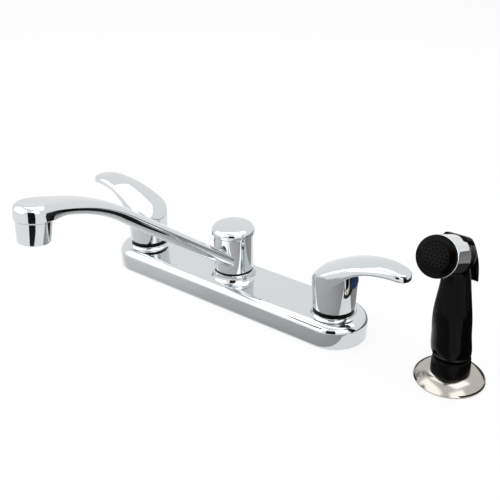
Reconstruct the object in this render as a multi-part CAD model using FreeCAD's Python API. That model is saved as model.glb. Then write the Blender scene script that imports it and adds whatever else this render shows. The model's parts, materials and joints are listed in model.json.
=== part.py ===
import FreeCAD, Part
import math
import os

# Two handle kitchen faucet on an 8 inch deck plate, with a side sprayer in its own deck hole.
# Millimetres. Origin: centre of the deck plate's underside, which lies on the sink deck (z = 0).
# +X towards the cold handle and the sprayer, -Y towards the user, +Z up.

V = FreeCAD.Vector
X_AXIS = V(1, 0, 0)
Y_AXIS = V(0, 1, 0)
Z_AXIS = V(0, 0, 1)

# ---- driving dimensions ------------------------------------------------------------------------
HANDLE_OFFSET = 101.6        # half of the standard 8 inch (203.2 mm) handle spacing
SPRAYER_OFFSET = 203.2       # sprayer hole, 4 inches beyond the cold handle
FIT_GAP = 0.05               # radial gap of pieces that are pushed together
FACE_GAP = 0.3               # gap between faces that move past each other

# deck plate
PLATE_LENGTH = 258.4
PLATE_WIDTH = 54.0
PLATE_HEIGHT = 19.7
PLATE_EDGE_RADIUS = 7.0
PLATE_WALL = 2.4
GASKET_THICKNESS = 3.0
GASKET_INSET = 0.3
HANDLE_COLLAR_TOP_Z = 22.2
HANDLE_COLLAR_RADIUS = 17.9
HANDLE_COLLAR_FOOT = 20.6
HANDLE_COLLAR_BORE = 13.4
SPOUT_COLLAR_TOP_Z = 26.4
SPOUT_COLLAR_RADIUS = 17.9
SPOUT_COLLAR_FOOT = 20.8
SPOUT_COLLAR_BORE = 13.5

# brass valve bodies, cross tubes and centre post under the plate
SHANK_RADIUS = 10.48         # 1/2-14 NPSM male thread, 20.96 mm over the crests
SHANK_BOTTOM_Z = -52.0
SHANK_BORE = 6.3
SHANK_RELIEF_Z = (-25.6, -24.2)   # thread relief between the locknut's and the connector's threads
SHANK_RELIEF_RADIUS = 9.5
BODY_RADIUS = 15.0
BODY_SHOULDER_Z = 17.1
NECK_RADIUS = 12.9
NECK_TOP_Z = 29.0
CARTRIDGE_BORE = 9.7
CARTRIDGE_FLOOR_Z = 8.0
PORT_Z = 10.0
PORT_BOSS_RADIUS = 6.8
CROSS_TUBE_RADIUS = 5.0
CROSS_TUBE_BORE = 4.2
CROSS_TUBE_SEAT = 16.0       # distance of each tube end from the axis of what it enters
PORT_BOSS_END = 24.0

# spout post, with the spray diverter inside
POST_RADIUS = 12.4
POST_SHOULDER_Z = 60.0
POST_TOP_Z = 64.4
POST_THREAD_RADIUS = 11.2
POST_BORE = 9.2
CHAMBER_BORE = 8.2
SEAT_Z = 30.0
PISTON_REST_Z = 15.0
NIPPLE_RADIUS = 6.6          # 1/4-18 NPSM spray outlet, 13.2 mm
NIPPLE_BOTTOM_Z = -38.0
O_RING_SECTION = 1.0
O_RING_HEIGHTS = (32.2, 53.0)
SPRING_STATIONS = 20          # sections in each turn of the diverter's spring

# mounting hardware on the shanks, below a deck of up to 38 mm
WASHER_TOP_Z = -10.0
WASHER_THICKNESS = 2.0
WASHER_RADIUS = 19.0
NUT_HEIGHT = 11.0
NUT_ACROSS_FLATS = 32.0

# cartridges
DISC_RADIUS = 7.1
DISC_CHAMBER = 7.2
STEM_RADIUS = 5.0
STEM_TOP_Z = 55.0
DRIVE_RADIUS = 4.2

# handles
HUB_BOTTOM_Z = 25.4
HUB_BOTTOM_RADIUS = 17.1
HUB_TOP_RADIUS = 18.1
HUB_TAPER_TOP_Z = 46.0
HUB_CAVITY_RADIUS = 14.8
HUB_CAVITY_TOP_Z = 43.0
LEVER_TIP_CENTRE = 54.2      # centre of the tip's plan arc, from the handle's axis
LEVER_TIP_RADIUS = 9.4
LEVER_TOP_ROUND = 3.9
LEVER_DOME_RADIUS = 42.0     # the lever's top seen from its tip
LEVER_TOP = (                # x, z of the crown's middle line
    (-21.0, 42.3), (-18.1, 49.2), (-15.6, 52.9), (-10.5, 58.4), (-4.0, 62.4), (5.6, 67.2),
    (16.0, 71.4), (32.0, 75.4), (48.0, 76.6), (58.0, 74.9), (70.0, 70.8),
)
LEVER_UNDER = (              # x, z of the lever's underside
    (5.0, 45.0), (8.9, 51.9), (13.5, 57.0), (20.0, 61.9), (28.0, 66.3), (38.0, 68.7),
    (50.0, 69.2), (70.0, 66.5),
)
GLIDE_RING_RADII = (14.2, 16.6)
SET_SCREW_Z = 51.8
SET_SCREW_RADIUS = 2.5
INDEX_BUTTON_RADIUS = 5.4
INDEX_BUTTON_SEAT = 15.4     # from the handle's axis to the floor of the button's recess
INDEX_BUTTON_FACE = 18.4

# spout
SPOUT_HUB_RADIUS = 16.9
SPOUT_HUB_BORE = 13.0
SPOUT_HUB_BOTTOM_Z = 27.5
SPOUT_HUB_TOP_Z = 59.6
SPOUT_RISE_DEG = 37.1        # slope of the straight run
SPOUT_AXIS_Z = 29.8          # height at which the straight run would meet the post's axis
SPOUT_STRAIGHT_Y = 122.5     # where the straight run ends
SPOUT_REACH = 194.5          # post axis to aerator axis
SPOUT_BEND_RADIUS = 156.0
SPOUT_WIDTH_AT_HUB = 22.2
SPOUT_WIDTH_AT_TIP = 24.4
SPOUT_THICKNESS = 11.0
SPOUT_TIP_THICKNESS = 10.4
SPOUT_WALL = 1.5
SPOUT_HEAD_RADIUS = 12.7
CAP_RADIUS = 18.4
CAP_TOP_Z = 67.2
CAP_BOTTOM_Z = 60.0
CAP_ROUND = 4.5

# aerator, heights measured along its own axis from the spout's centreline
AERATOR_TOP = -5.2
AERATOR_BOTTOM = -20.2
AERATOR_TOP_RADIUS = 11.6
AERATOR_LOW_RADIUS = 10.6
AERATOR_BORE = 8.6

# sprayer holder
FLANGE_RADIUS = 26.3
FLANGE_HOLE = 13.9
FLANGE_TOP_Z = 8.2
GUIDE_SHANK_RADIUS = 13.6
GUIDE_BOTTOM_Z = -42.0
GUIDE_TOP_Z = 19.8
GUIDE_BORE = 10.4
GUIDE_MOUTH = 12.2

# sprayer, seen along X: (y, z) pairs on its mid-plane
GRIP_BOTTOM_Z = 20.1
GRIP_GROOVE_RADIUS = 13.35
GRIP_SECTIONS = (            # z, y of the centre, radius
    (23.4, -1.4, 13.9),
    (27.0, -2.8, 14.5),
    (40.0, -5.8, 14.1),
    (55.0, -8.4, 13.8),
    (66.0, -9.7, 12.9),
    (82.0, -10.3, 10.8),
    (95.0, -12.3, 9.7),
    (106.0, -15.4, 9.2),
)
NOZZLE_TILT_DEG = 21.0
NOZZLE_BACK = (-26.2, 113.3)
NOZZLE_RING_RADIUS = 14.0
NOZZLE_RING_LENGTH = 22.8
BARREL_RADIUS = 12.4
FACE_RADIUS = 9.4
TRIGGER_PIVOT = (-18.0, 119.4)
TRIGGER_TRAVEL_DEG = 7.0
TRIGGER_HALF_WIDTH = 8.3
TRIGGER_OUTER = ((-20.6, 126.2), (-16.0, 124.5), (-9.5, 120.3), (-3.0, 112.9),
                 (2.2, 105.2), (6.8, 96.7), (9.8, 87.6), (11.2, 80.0))
TRIGGER_INNER = ((-21.6, 123.7), (-17.3, 122.0), (-11.3, 117.8), (-5.2, 110.9),
                 (-0.2, 103.4), (4.2, 95.4), (7.0, 87.0), (8.3, 80.2))
PIN_RADIUS = 1.2
PLUNGER_Z = 100.0
PLUNGER_RADIUS = 2.6
PLUNGER_TIP_Y = -0.6


# ---- shape helpers -----------------------------------------------------------------------------
def wire_through(steps, place):
    """A closed wire. Each step is a corner (a, b), or ((a, b), (a, b)): an arc's middle and end."""
    edges = []
    first = at = steps[0]
    for step in steps[1:] + [first]:
        if isinstance(step[0], tuple):
            middle, end = step
            edges.append(Part.Arc(place(*at), place(*middle), place(*end)).toShape())
        else:
            end = step
            if place(*at).distanceToPoint(place(*end)) > 1e-7:
                edges.append(Part.makeLine(place(*at), place(*end)))
        at = end
    return Part.Wire(edges)


def turned(steps):
    """The solid that a closed outline of (radius, z) corners sweeps about the Z axis."""
    face = Part.Face(wire_through(steps, lambda r, z: V(r, 0, z)))
    return upright(face.revolve(V(0, 0, 0), Z_AXIS, 360))


def upright(shape):
    """The same shape as one solid, with its faces pointing outwards."""
    solid = shape.Solids[0] if len(shape.Solids) == 1 else shape
    if solid.Volume < 0:
        solid.reverse()
    return solid


def rod(radius, start, end):
    """A cylinder between two points."""
    along = end - start
    return Part.makeCylinder(radius, along.Length, start, along)


def moved(shape, x=0.0, y=0.0, z=0.0):
    """A copy of the shape, shifted."""
    copy = shape.copy()
    copy.translate(V(x, y, z))
    return copy


def rotated(shape, centre, axis, degrees):
    """A copy of the shape, turned about an axis."""
    copy = shape.copy()
    copy.rotate(centre, axis, degrees)
    return copy


def stadium(length, width, height, base_z=0.0):
    """A slab with two straight sides and two half round ends."""
    radius = width / 2
    reach = length / 2 - radius
    wire = wire_through(
        [
            (-reach, -radius),
            (reach, -radius),
            ((reach + radius, 0.0), (reach, radius)),
            (-reach, radius),
            ((-reach - radius, 0.0), (-reach, -radius)),
        ],
        lambda x, y: V(x, y, base_z),
    )
    return Part.Face(wire).extrude(V(0, 0, height))


def edges_at(shape, z, shortest=0.5):
    """The shape's edges that lie in the plane at height z."""
    found = []
    for edge in shape.Edges:
        box = edge.BoundBox
        if abs(box.ZMin - z) < 1e-3 and abs(box.ZMax - z) < 1e-3 and edge.Length > shortest:
            found.append(edge)
    return found


def hexagon(across_flats, height, base_z):
    """A hexagonal prism about the Z axis."""
    radius = across_flats / math.sqrt(3)
    turns = [math.radians(60 * i) for i in range(7)]
    corners = [V(radius * math.cos(t), radius * math.sin(t), base_z) for t in turns]
    return Part.Face(Part.makePolygon(corners)).extrude(V(0, 0, height))


def helix_spring(radius, wire_radius, height, turns):
    """A wire spring that stands on z = 0, lofted through sections square to the wire."""
    rise = height - 2 * wire_radius
    slope = math.atan2(rise / turns, 2 * math.pi * radius)
    count = turns * SPRING_STATIONS
    wires = []
    for i in range(count + 1):
        turn = 2 * math.pi * i / SPRING_STATIONS
        corners = []
        for k in range(8):
            angle = math.pi * (k + 0.5) / 4
            reach = radius + wire_radius * math.cos(angle)
            up = wire_radius * math.sin(angle)
            back = -up * math.sin(slope)
            x = reach * math.cos(turn) - back * math.sin(turn)
            y = reach * math.sin(turn) + back * math.cos(turn)
            corners.append(V(x, y, wire_radius + rise * i / count + up * math.cos(slope)))
        wires.append(Part.makePolygon(corners + corners[:1]))
    return upright(Part.makeLoft(wires, True, True))


def torus(radius, section, z):
    """A round ring about the Z axis."""
    return Part.makeTorus(radius, section, V(0, 0, z), Z_AXIS)


# ---- deck plate --------------------------------------------------------------------------------
def collar(foot, top, top_z, bore):
    """A boss that flares out to the plate's top in a hollow curve."""
    waist = ((foot + 2.2 * top) / 3.2, PLATE_HEIGHT + 0.30 * (top_z - PLATE_HEIGHT))
    return turned(
        [
            (bore, PLATE_HEIGHT - PLATE_WALL),
            (foot, PLATE_HEIGHT - PLATE_WALL),
            (foot, PLATE_HEIGHT - 0.1),
            (waist, (top, top_z)),
            (bore, top_z),
        ]
    )


def deck_plate():
    """The chromed shell: a hollow stadium with a rounded top edge and three collars."""
    outer = stadium(PLATE_LENGTH, PLATE_WIDTH, PLATE_HEIGHT)
    outer = outer.makeFillet(PLATE_EDGE_RADIUS, edges_at(outer, PLATE_HEIGHT))
    hollow_top = PLATE_HEIGHT - PLATE_WALL
    inner = stadium(PLATE_LENGTH - 2 * PLATE_WALL, PLATE_WIDTH - 2 * PLATE_WALL, hollow_top)
    inner = inner.makeFillet(PLATE_EDGE_RADIUS - PLATE_WALL, edges_at(inner, hollow_top))
    plate = outer.cut(inner)
    handle_collar = (HANDLE_COLLAR_FOOT, HANDLE_COLLAR_RADIUS, HANDLE_COLLAR_TOP_Z, HANDLE_COLLAR_BORE)
    spout_collar = (SPOUT_COLLAR_FOOT, SPOUT_COLLAR_RADIUS, SPOUT_COLLAR_TOP_Z, SPOUT_COLLAR_BORE)
    placed = ((-HANDLE_OFFSET, handle_collar), (HANDLE_OFFSET, handle_collar), (0, spout_collar))
    for x, sizes in placed:
        plate = plate.fuse(moved(collar(*sizes), x))
    for x, sizes in placed:
        plate = plate.cut(rod(sizes[3], V(x, 0, hollow_top - 1), V(x, 0, SPOUT_COLLAR_TOP_Z + 1)))
    return upright(plate.removeSplitter())


def deck_gasket():
    """The rubber sheet inside the plate's rim, with a hole for each shank."""
    inset = 2 * (PLATE_WALL + GASKET_INSET)
    sheet = stadium(PLATE_LENGTH - inset, PLATE_WIDTH - inset, GASKET_THICKNESS)
    for x, radius in ((-HANDLE_OFFSET, SHANK_RADIUS), (HANDLE_OFFSET, SHANK_RADIUS), (0, 8.0)):
        sheet = sheet.cut(rod(radius + 0.4, V(x, 0, -1), V(x, 0, GASKET_THICKNESS + 1)))
    return upright(sheet)


# ---- brass under the plate ---------------------------------------------------------------------
def valve_body(side):
    """A brass valve body: threaded shank, barrel, neck and a port that faces the centre post."""
    floor = GASKET_THICKNESS + 0.1
    body = turned(
        [
            (SHANK_BORE, SHANK_BOTTOM_Z),
            (SHANK_RADIUS - 1.0, SHANK_BOTTOM_Z),
            (SHANK_RADIUS, SHANK_BOTTOM_Z + 1.0),
            (SHANK_RADIUS, SHANK_RELIEF_Z[0]),
            (SHANK_RELIEF_RADIUS, SHANK_RELIEF_Z[0] + 0.3),
            (SHANK_RELIEF_RADIUS, SHANK_RELIEF_Z[1] - 0.3),
            (SHANK_RADIUS, SHANK_RELIEF_Z[1]),
            (SHANK_RADIUS, floor),
            (BODY_RADIUS, floor),
            (BODY_RADIUS, BODY_SHOULDER_Z),
            (NECK_RADIUS, BODY_SHOULDER_Z),
            (NECK_RADIUS, NECK_TOP_Z),
            (CARTRIDGE_BORE, NECK_TOP_Z),
            (CARTRIDGE_BORE, CARTRIDGE_FLOOR_Z),
            (SHANK_BORE, CARTRIDGE_FLOOR_Z),
        ]
    )
    inward = V(-side, 0, 0)
    at = V(0, 0, PORT_Z)
    boss = rod(PORT_BOSS_RADIUS, at + inward * (CARTRIDGE_BORE + 2), at + inward * PORT_BOSS_END)
    body = body.fuse(boss)
    body = body.cut(rod(CROSS_TUBE_RADIUS + FIT_GAP, at + inward * CROSS_TUBE_SEAT, at + inward * 30))
    body = body.cut(rod(CROSS_TUBE_BORE, at + inward * 8, at + inward * 20))
    return upright(moved(body.removeSplitter(), side * HANDLE_OFFSET))


def cross_tube(side):
    """The copper tube from a valve body to the centre post."""
    start = V(side * CROSS_TUBE_SEAT, 0, PORT_Z)
    end = V(side * (HANDLE_OFFSET - CROSS_TUBE_SEAT), 0, PORT_Z)
    return rod(CROSS_TUBE_RADIUS, start, end).cut(rod(CROSS_TUBE_BORE, start, end))


def centre_post():
    """The brass post that carries the spout, with the diverter's chamber and the spray passage."""
    floor = GASKET_THICKNESS + 0.1
    groove = POST_RADIUS - 1.5
    half = O_RING_SECTION + 0.15
    low, high = O_RING_HEIGHTS
    post = turned(
        [
            (3.2, -22.0),
            (8.0, -22.0),
            (8.0, floor),
            (14.5, floor),
            (14.5, BODY_SHOULDER_Z),
            (POST_RADIUS, BODY_SHOULDER_Z),
            (POST_RADIUS, low - half),
            (groove, low - half),
            (groove, low + half),
            (POST_RADIUS, low + half),
            (POST_RADIUS, high - half),
            (groove, high - half),
            (groove, high + half),
            (POST_RADIUS, high + half),
            (POST_RADIUS, POST_SHOULDER_Z),
            (POST_THREAD_RADIUS, POST_SHOULDER_Z),
            (POST_THREAD_RADIUS, POST_TOP_Z),
            (POST_BORE, POST_TOP_Z),
            (POST_BORE, SEAT_Z),
            (CHAMBER_BORE, SEAT_Z),
            (CHAMBER_BORE, PISTON_REST_Z - FACE_GAP),
            (7.0, PISTON_REST_Z - FACE_GAP),
            (7.0, 5.5),
            (3.2, 5.5),
        ]
    )
    for side in (-1, 1):
        out = V(side, 0, 0)
        at = V(0, 0, PORT_Z)
        post = post.fuse(rod(PORT_BOSS_RADIUS, at + out * 12, at + out * PORT_BOSS_END))
        post = post.cut(rod(CROSS_TUBE_RADIUS + FIT_GAP, at + out * CROSS_TUBE_SEAT, at + out * 30))
        post = post.cut(rod(CROSS_TUBE_BORE, at + out * 5, at + out * 20))
    for turn in (45, 135):
        window = Part.makeBox(32, 7, 7, V(-16, -3.5, 39.5))
        post = post.cut(rotated(window, V(0, 0, 0), Z_AXIS, turn))
    post = post.cut(rod(5.0 + FIT_GAP, V(0, 0, -23), V(0, 0, -14)))
    return upright(post.removeSplitter())


def spray_nipple():
    """The threaded outlet under the post, for the spray hose."""
    return turned(
        [
            (3.2, NIPPLE_BOTTOM_Z),
            (NIPPLE_RADIUS - 0.8, NIPPLE_BOTTOM_Z),
            (NIPPLE_RADIUS, NIPPLE_BOTTOM_Z + 0.8),
            (NIPPLE_RADIUS, -25.0),
            (7.6, -25.0),
            (7.6, -22.0),
            (5.0, -22.0),
            (5.0, -14.5),
            (3.2, -14.5),
        ]
    )


def post_o_rings():
    """Two rubber rings that seal the spout's hub on the post."""
    centre = POST_RADIUS - 1.5 + FIT_GAP + O_RING_SECTION
    return [torus(centre, O_RING_SECTION, z) for z in O_RING_HEIGHTS]


def spout_glide_ring():
    """The plastic ring that the spout's hub turns on."""
    top = SPOUT_HUB_BOTTOM_Z - FACE_GAP
    return turned([(14.0, SPOUT_COLLAR_TOP_Z), (16.4, SPOUT_COLLAR_TOP_Z), (16.4, top), (14.0, top)])


def spout_cap():
    """The chromed cap that screws on the post and keeps the spout down."""
    flat = CAP_RADIUS - CAP_ROUND
    low = CAP_TOP_Z - 0.6 - CAP_ROUND
    slant = CAP_ROUND * math.sqrt(0.5)
    return turned(
        [
            (POST_THREAD_RADIUS + FIT_GAP, CAP_BOTTOM_Z),
            (CAP_RADIUS - 0.3, CAP_BOTTOM_Z),
            (CAP_RADIUS, CAP_BOTTOM_Z + 0.3),
            (CAP_RADIUS, low),
            ((flat + slant, low + slant), (flat, low + CAP_ROUND)),
            (flat * 0.6, CAP_TOP_Z - 0.15),
            (0.0, CAP_TOP_Z),
            (0.0, POST_TOP_Z + 0.2),
            (POST_THREAD_RADIUS + FIT_GAP, POST_TOP_Z + 0.2),
        ]
    )


# ---- spray diverter ----------------------------------------------------------------------------
def diverter_seat():
    """The ring that the diverter's seal closes against."""
    outer = POST_BORE - FIT_GAP
    return turned([(3.8, SEAT_Z), (outer, SEAT_Z), (outer, SEAT_Z + 3), (5.2, SEAT_Z + 3)])


def diverter_piston():
    """A notched guide disc, a stem and the head that carries the seal."""
    base = PISTON_REST_Z
    piston = turned(
        [
            (0.0, base),
            (CHAMBER_BORE - 0.1, base),
            (CHAMBER_BORE - 0.1, base + 2.5),
            (2.5, base + 2.5),
            (2.5, base + 9),
            (5.0, base + 9),
            (5.0, base + 11),
            (0.0, base + 11),
        ]
    )
    notch = Part.makeBox(6, 4, 3, V(5.2, -2, base - 0.2))
    for turn in (0, 90, 180, 270):
        piston = piston.cut(rotated(notch, V(0, 0, 0), Z_AXIS, turn))
    return upright(piston)


def diverter_seal():
    """The rubber disc on the piston's head."""
    base = PISTON_REST_Z + 11
    return turned([(0.0, base), (5.0, base), (5.0, base + 1.4), (4.4, base + 2), (0.0, base + 2)])


def diverter_spring():
    """The light spring that brings the piston back down."""
    foot = PISTON_REST_Z + 2.6
    return moved(helix_spring(6.5, 0.45, SEAT_Z - 0.1 - foot, 4), z=foot)


# ---- cartridges --------------------------------------------------------------------------------
def seat_seals():
    """The rubber seal under each cartridge, one solid for each side."""
    ring = turned([(3.0, 8.0), (9.4, 8.0), (9.4, 9.9), (3.0, 9.9)])
    return [moved(ring, side * HANDLE_OFFSET) for side in (-1, 1)]


def fixed_disc(side):
    """The lower ceramic disc, with two openings."""
    disc = turned([(0.0, 10.0), (DISC_RADIUS, 10.0), (DISC_RADIUS, 13.0), (0.0, 13.0)])
    for x in (-3.9, 3.9):
        disc = disc.cut(rod(2.2, V(x, 0, 9), V(x, 0, 14)))
    return upright(moved(disc, side * HANDLE_OFFSET))


def moving_disc(side):
    """The upper ceramic disc, with a drive slot across its top."""
    low = 13.0 + FACE_GAP
    disc = turned([(0.0, low), (DISC_RADIUS, low), (DISC_RADIUS, 16.0), (0.0, 16.0)])
    disc = disc.cut(Part.makeBox(16, 3.1, 1.2, V(-8, -1.55, 14.8)))
    disc = disc.cut(rod(2.2, V(0, 4.4, 12), V(0, 4.4, 17)))
    return upright(moved(disc, side * HANDLE_OFFSET))


def cartridge_housing(side):
    """The plastic shell that holds the discs and guides the stem."""
    outer = CARTRIDGE_BORE - FIT_GAP
    shell = turned(
        [
            (DISC_CHAMBER, 10.0),
            (DISC_CHAMBER + 1.4, 10.0),
            (DISC_CHAMBER + 1.4, 22.5),
            (outer, 22.5),
            (outer, NECK_TOP_Z),
            (12.0, NECK_TOP_Z),
            (12.0, NECK_TOP_Z + 1.6),
            (7.4, NECK_TOP_Z + 1.6),
            (7.4, 35.5),
            (STEM_RADIUS + FIT_GAP, 35.5),
            (STEM_RADIUS + FIT_GAP, 21.1),
            (DISC_CHAMBER, 21.1),
        ]
    )
    window = rod(3.0, V(-side * 4, 0, 17.2), V(-side * 12, 0, 17.2))
    return upright(moved(shell.cut(window), side * HANDLE_OFFSET))


def bonnet_nuts():
    """The two brass nuts that hold the cartridges down on the necks."""
    base = NECK_TOP_Z + 1.6
    nut = hexagon(22.6, 4.0, base).cut(rod(7.4 + FIT_GAP, V(0, 0, base - 1), V(0, 0, base + 5)))
    return [moved(nut, side * HANDLE_OFFSET) for side in (-1, 1)]


def valve_stem(side):
    """The brass stem: a tang in the moving disc, a round shaft and a flatted drive end."""
    stem = turned(
        [
            (0.0, 16.0),
            (DISC_RADIUS, 16.0),
            (DISC_RADIUS, 20.8),
            (STEM_RADIUS, 20.8),
            (STEM_RADIUS, 36.5),
            (DRIVE_RADIUS, 36.5),
            (DRIVE_RADIUS, STEM_TOP_Z - 0.5),
            (DRIVE_RADIUS - 0.5, STEM_TOP_Z),
            (0.0, STEM_TOP_Z),
        ]
    )
    stem = stem.fuse(Part.makeBox(13.4, 3.0, 1.1, V(-6.7, -1.5, 14.9)))
    for y in (DRIVE_RADIUS - 0.8, -DRIVE_RADIUS - 2.2):
        stem = stem.cut(Part.makeBox(12, 3, 20, V(-6, y, 38)))
    return upright(moved(stem.removeSplitter(), side * HANDLE_OFFSET))


# ---- mounting hardware -------------------------------------------------------------------------
def shank_washers():
    """A dished steel washer on each shank."""
    low = WASHER_TOP_Z - WASHER_THICKNESS
    bore = SHANK_RADIUS + 0.4
    ring = turned(
        [
            (bore, low),
            (WASHER_RADIUS - 3, low),
            (WASHER_RADIUS - 1.2, WASHER_TOP_Z - 1.2),
            (WASHER_RADIUS, WASHER_TOP_Z - 1.2),
            (WASHER_RADIUS, WASHER_TOP_Z),
            (WASHER_RADIUS - 2, WASHER_TOP_Z),
            (WASHER_RADIUS - 3.6, low + 1.1),
            (bore, low + 1.1),
        ]
    )
    return [moved(ring, side * HANDLE_OFFSET) for side in (-1, 1)]


def shank_nuts():
    """A brass locknut on each shank, with a round flange at its top."""
    top = WASHER_TOP_Z - WASHER_THICKNESS
    nut = hexagon(NUT_ACROSS_FLATS, NUT_HEIGHT - 1.5, top - NUT_HEIGHT)
    nut = nut.fuse(Part.makeCylinder(18.6, 1.5, V(0, 0, top - 1.5)))
    nut = nut.cut(rod(SHANK_RADIUS + FIT_GAP, V(0, 0, top - NUT_HEIGHT - 1), V(0, 0, top + 1)))
    return [moved(upright(nut), side * HANDLE_OFFSET) for side in (-1, 1)]


# ---- handles (made for the cold side, with the lever towards +X) -------------------------------
def handle_glide_rings():
    """The black plastic ring under each handle, which the hub turns over."""
    inner, outer = GLIDE_RING_RADII
    top = HUB_BOTTOM_Z - FACE_GAP
    low = HANDLE_COLLAR_TOP_Z
    ring = turned([(inner, low), (outer, low), (outer, top), (inner, top)])
    return [moved(ring, side * HANDLE_OFFSET) for side in (-1, 1)]


def crown_drop(y):
    """How far the crown lies below its middle line at a distance y to the side."""
    return math.sqrt(LEVER_DOME_RADIUS ** 2 - y * y) - LEVER_DOME_RADIUS


def crown_block():
    """The solid below the lever's domed top: the middle line's height plus the drop to the side."""
    along = Part.BSplineCurve()
    along.interpolate([V(x, 0, z) for x, z in LEVER_TOP])
    across = Part.BSplineCurve()
    across.interpolate([V(0, y, crown_drop(y)) for y in range(-24, 25, 6)])
    poles = [[V(p.x, q.y, p.z + q.z) for q in across.getPoles()] for p in along.getPoles()]
    surface = Part.BSplineSurface()
    surface.buildFromPolesMultsKnots(
        poles,
        along.getMultiplicities(),
        across.getMultiplicities(),
        along.getKnots(),
        across.getKnots(),
        False,
        False,
        along.Degree,
        across.Degree,
    )
    return upright(surface.toShape().extrude(V(0, 0, -60)))


def prism_below(points, low_z, half_depth):
    """The solid below a smooth line of (x, z) points, down to low_z, carried across Y."""
    curve = Part.BSplineCurve()
    curve.interpolate([V(x, -half_depth, z) for x, z in points])
    (x0, z0), (x1, z1) = points[0], points[-1]
    sides = [
        curve.toShape(),
        Part.makeLine(V(x1, -half_depth, z1), V(x1, -half_depth, low_z)),
        Part.makeLine(V(x1, -half_depth, low_z), V(x0, -half_depth, low_z)),
        Part.makeLine(V(x0, -half_depth, low_z), V(x0, -half_depth, z0)),
    ]
    return upright(Part.Face(Part.Wire(sides)).extrude(V(0, 2 * half_depth, 0)))


def lever_plan(low_z, high_z):
    """The lever seen from above: the hub's circle and the tip's arc, joined by tangent sides."""
    reach, tip = LEVER_TIP_CENTRE, LEVER_TIP_RADIUS
    sine = (HUB_TOP_RADIUS - tip) / reach
    cosine = math.sqrt(1 - sine * sine)
    hub_x, hub_y = HUB_TOP_RADIUS * sine, HUB_TOP_RADIUS * cosine
    tip_x, tip_y = reach + tip * sine, tip * cosine
    wire = wire_through(
        [
            (hub_x, -hub_y),
            (tip_x, -tip_y),
            ((reach + tip, 0.0), (tip_x, tip_y)),
            (hub_x, hub_y),
            ((-HUB_TOP_RADIUS, 0.0), (hub_x, -hub_y)),
        ],
        lambda x, y: V(x, y, low_z),
    )
    return Part.Face(wire).extrude(V(0, 0, high_z - low_z))


def lever_shell():
    """The outside of a handle: a tapered hub that runs up into a leaf shaped lever."""
    crown = lever_plan(HUB_TAPER_TOP_Z, 90).common(crown_block()).Solids[0]
    rim = []
    for edge in crown.Edges:
        box = edge.BoundBox
        if box.ZLength > 0.2 and box.XLength + box.YLength > 1.0 and len(edge.Vertexes) == 2:
            rim.append(edge)
    crown = crown.makeFillet(LEVER_TOP_ROUND, rim)
    under = prism_below(LEVER_UNDER, HUB_TAPER_TOP_Z - 10, 40)
    under = under.cut(Part.makeCylinder(HUB_TOP_RADIUS, 60, V(0, 0, 30)))
    crown = crown.cut(under)
    crown = max(crown.Solids, key=lambda solid: solid.Volume)
    height = HUB_TAPER_TOP_Z - HUB_BOTTOM_Z
    hub = Part.makeCone(HUB_BOTTOM_RADIUS, HUB_TOP_RADIUS, height, V(0, 0, HUB_BOTTOM_Z))
    return crown.fuse(hub)


def drive_socket():
    """The flatted hole that fits the stem's drive end."""
    hole = rod(DRIVE_RADIUS + FIT_GAP, V(0, 0, HUB_CAVITY_TOP_Z - 1), V(0, 0, STEM_TOP_Z + 0.6))
    flat = DRIVE_RADIUS - 0.8 + FIT_GAP
    return hole.common(Part.makeBox(20, 2 * flat, 20, V(-10, -flat, 40)))


def handle(side):
    """A lever handle, hollow under its hub, with a socket for the stem and a set screw hole."""
    body = lever_shell()
    cavity = rod(HUB_CAVITY_RADIUS, V(0, 0, HUB_BOTTOM_Z - 1), V(0, 0, HUB_CAVITY_TOP_Z))
    body = body.cut(cavity)
    body = body.cut(drive_socket())
    body = body.cut(rod(SET_SCREW_RADIUS + FIT_GAP, V(3, 0, SET_SCREW_Z), V(19, 0, SET_SCREW_Z)))
    recess = (V(INDEX_BUTTON_SEAT, 0, SET_SCREW_Z), V(19, 0, SET_SCREW_Z))
    body = body.cut(rod(INDEX_BUTTON_RADIUS + FIT_GAP, *recess))
    return placed_handle(upright(body.removeSplitter()), side)


def placed_handle(shape, side):
    """The cold side's shape moved to its stem, or mirrored for the hot side."""
    if side < 0:
        shape = shape.mirror(V(0, 0, 0), X_AXIS)
    return upright(moved(shape, side * HANDLE_OFFSET))


def index_button(side):
    """The small round button over the set screw's hole."""
    back = V(INDEX_BUTTON_SEAT + FIT_GAP, 0, SET_SCREW_Z)
    button = rod(INDEX_BUTTON_RADIUS, back, V(INDEX_BUTTON_FACE, 0, SET_SCREW_Z))
    rim = [e for e in button.Edges if e.BoundBox.XMin > INDEX_BUTTON_FACE - 0.1 and e.Length > 5]
    return placed_handle(button.makeFillet(0.5, rim), side)


def set_screw(side):
    """The socket set screw that clamps the handle on the stem."""
    screw = rod(SET_SCREW_RADIUS, V(DRIVE_RADIUS + 0.1, 0, SET_SCREW_Z), V(12.0, 0, SET_SCREW_Z))
    corners = []
    for i in range(7):
        turn = math.radians(60 * i)
        corners.append(V(12.5, 1.45 * math.cos(turn), SET_SCREW_Z + 1.45 * math.sin(turn)))
    key = Part.Face(Part.makePolygon(corners)).extrude(V(-3.5, 0, 0))
    return placed_handle(upright(screw.cut(key)), side)


# ---- spout -------------------------------------------------------------------------------------
def spout_line(distance):
    """The y, z and slope (radians) of the spout's centreline at a distance from the post's axis."""
    rise = math.radians(SPOUT_RISE_DEG)
    straight = SPOUT_STRAIGHT_Y / math.cos(rise)
    if distance <= straight:
        return -distance * math.cos(rise), SPOUT_AXIS_Z + distance * math.sin(rise), rise
    turn = rise - (distance - straight) / SPOUT_BEND_RADIUS
    end_z = SPOUT_AXIS_Z + SPOUT_STRAIGHT_Y * math.tan(rise)
    y = -SPOUT_STRAIGHT_Y - SPOUT_BEND_RADIUS * (math.sin(rise) - math.sin(turn))
    return y, end_z + SPOUT_BEND_RADIUS * (math.cos(turn) - math.cos(rise)), turn


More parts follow.
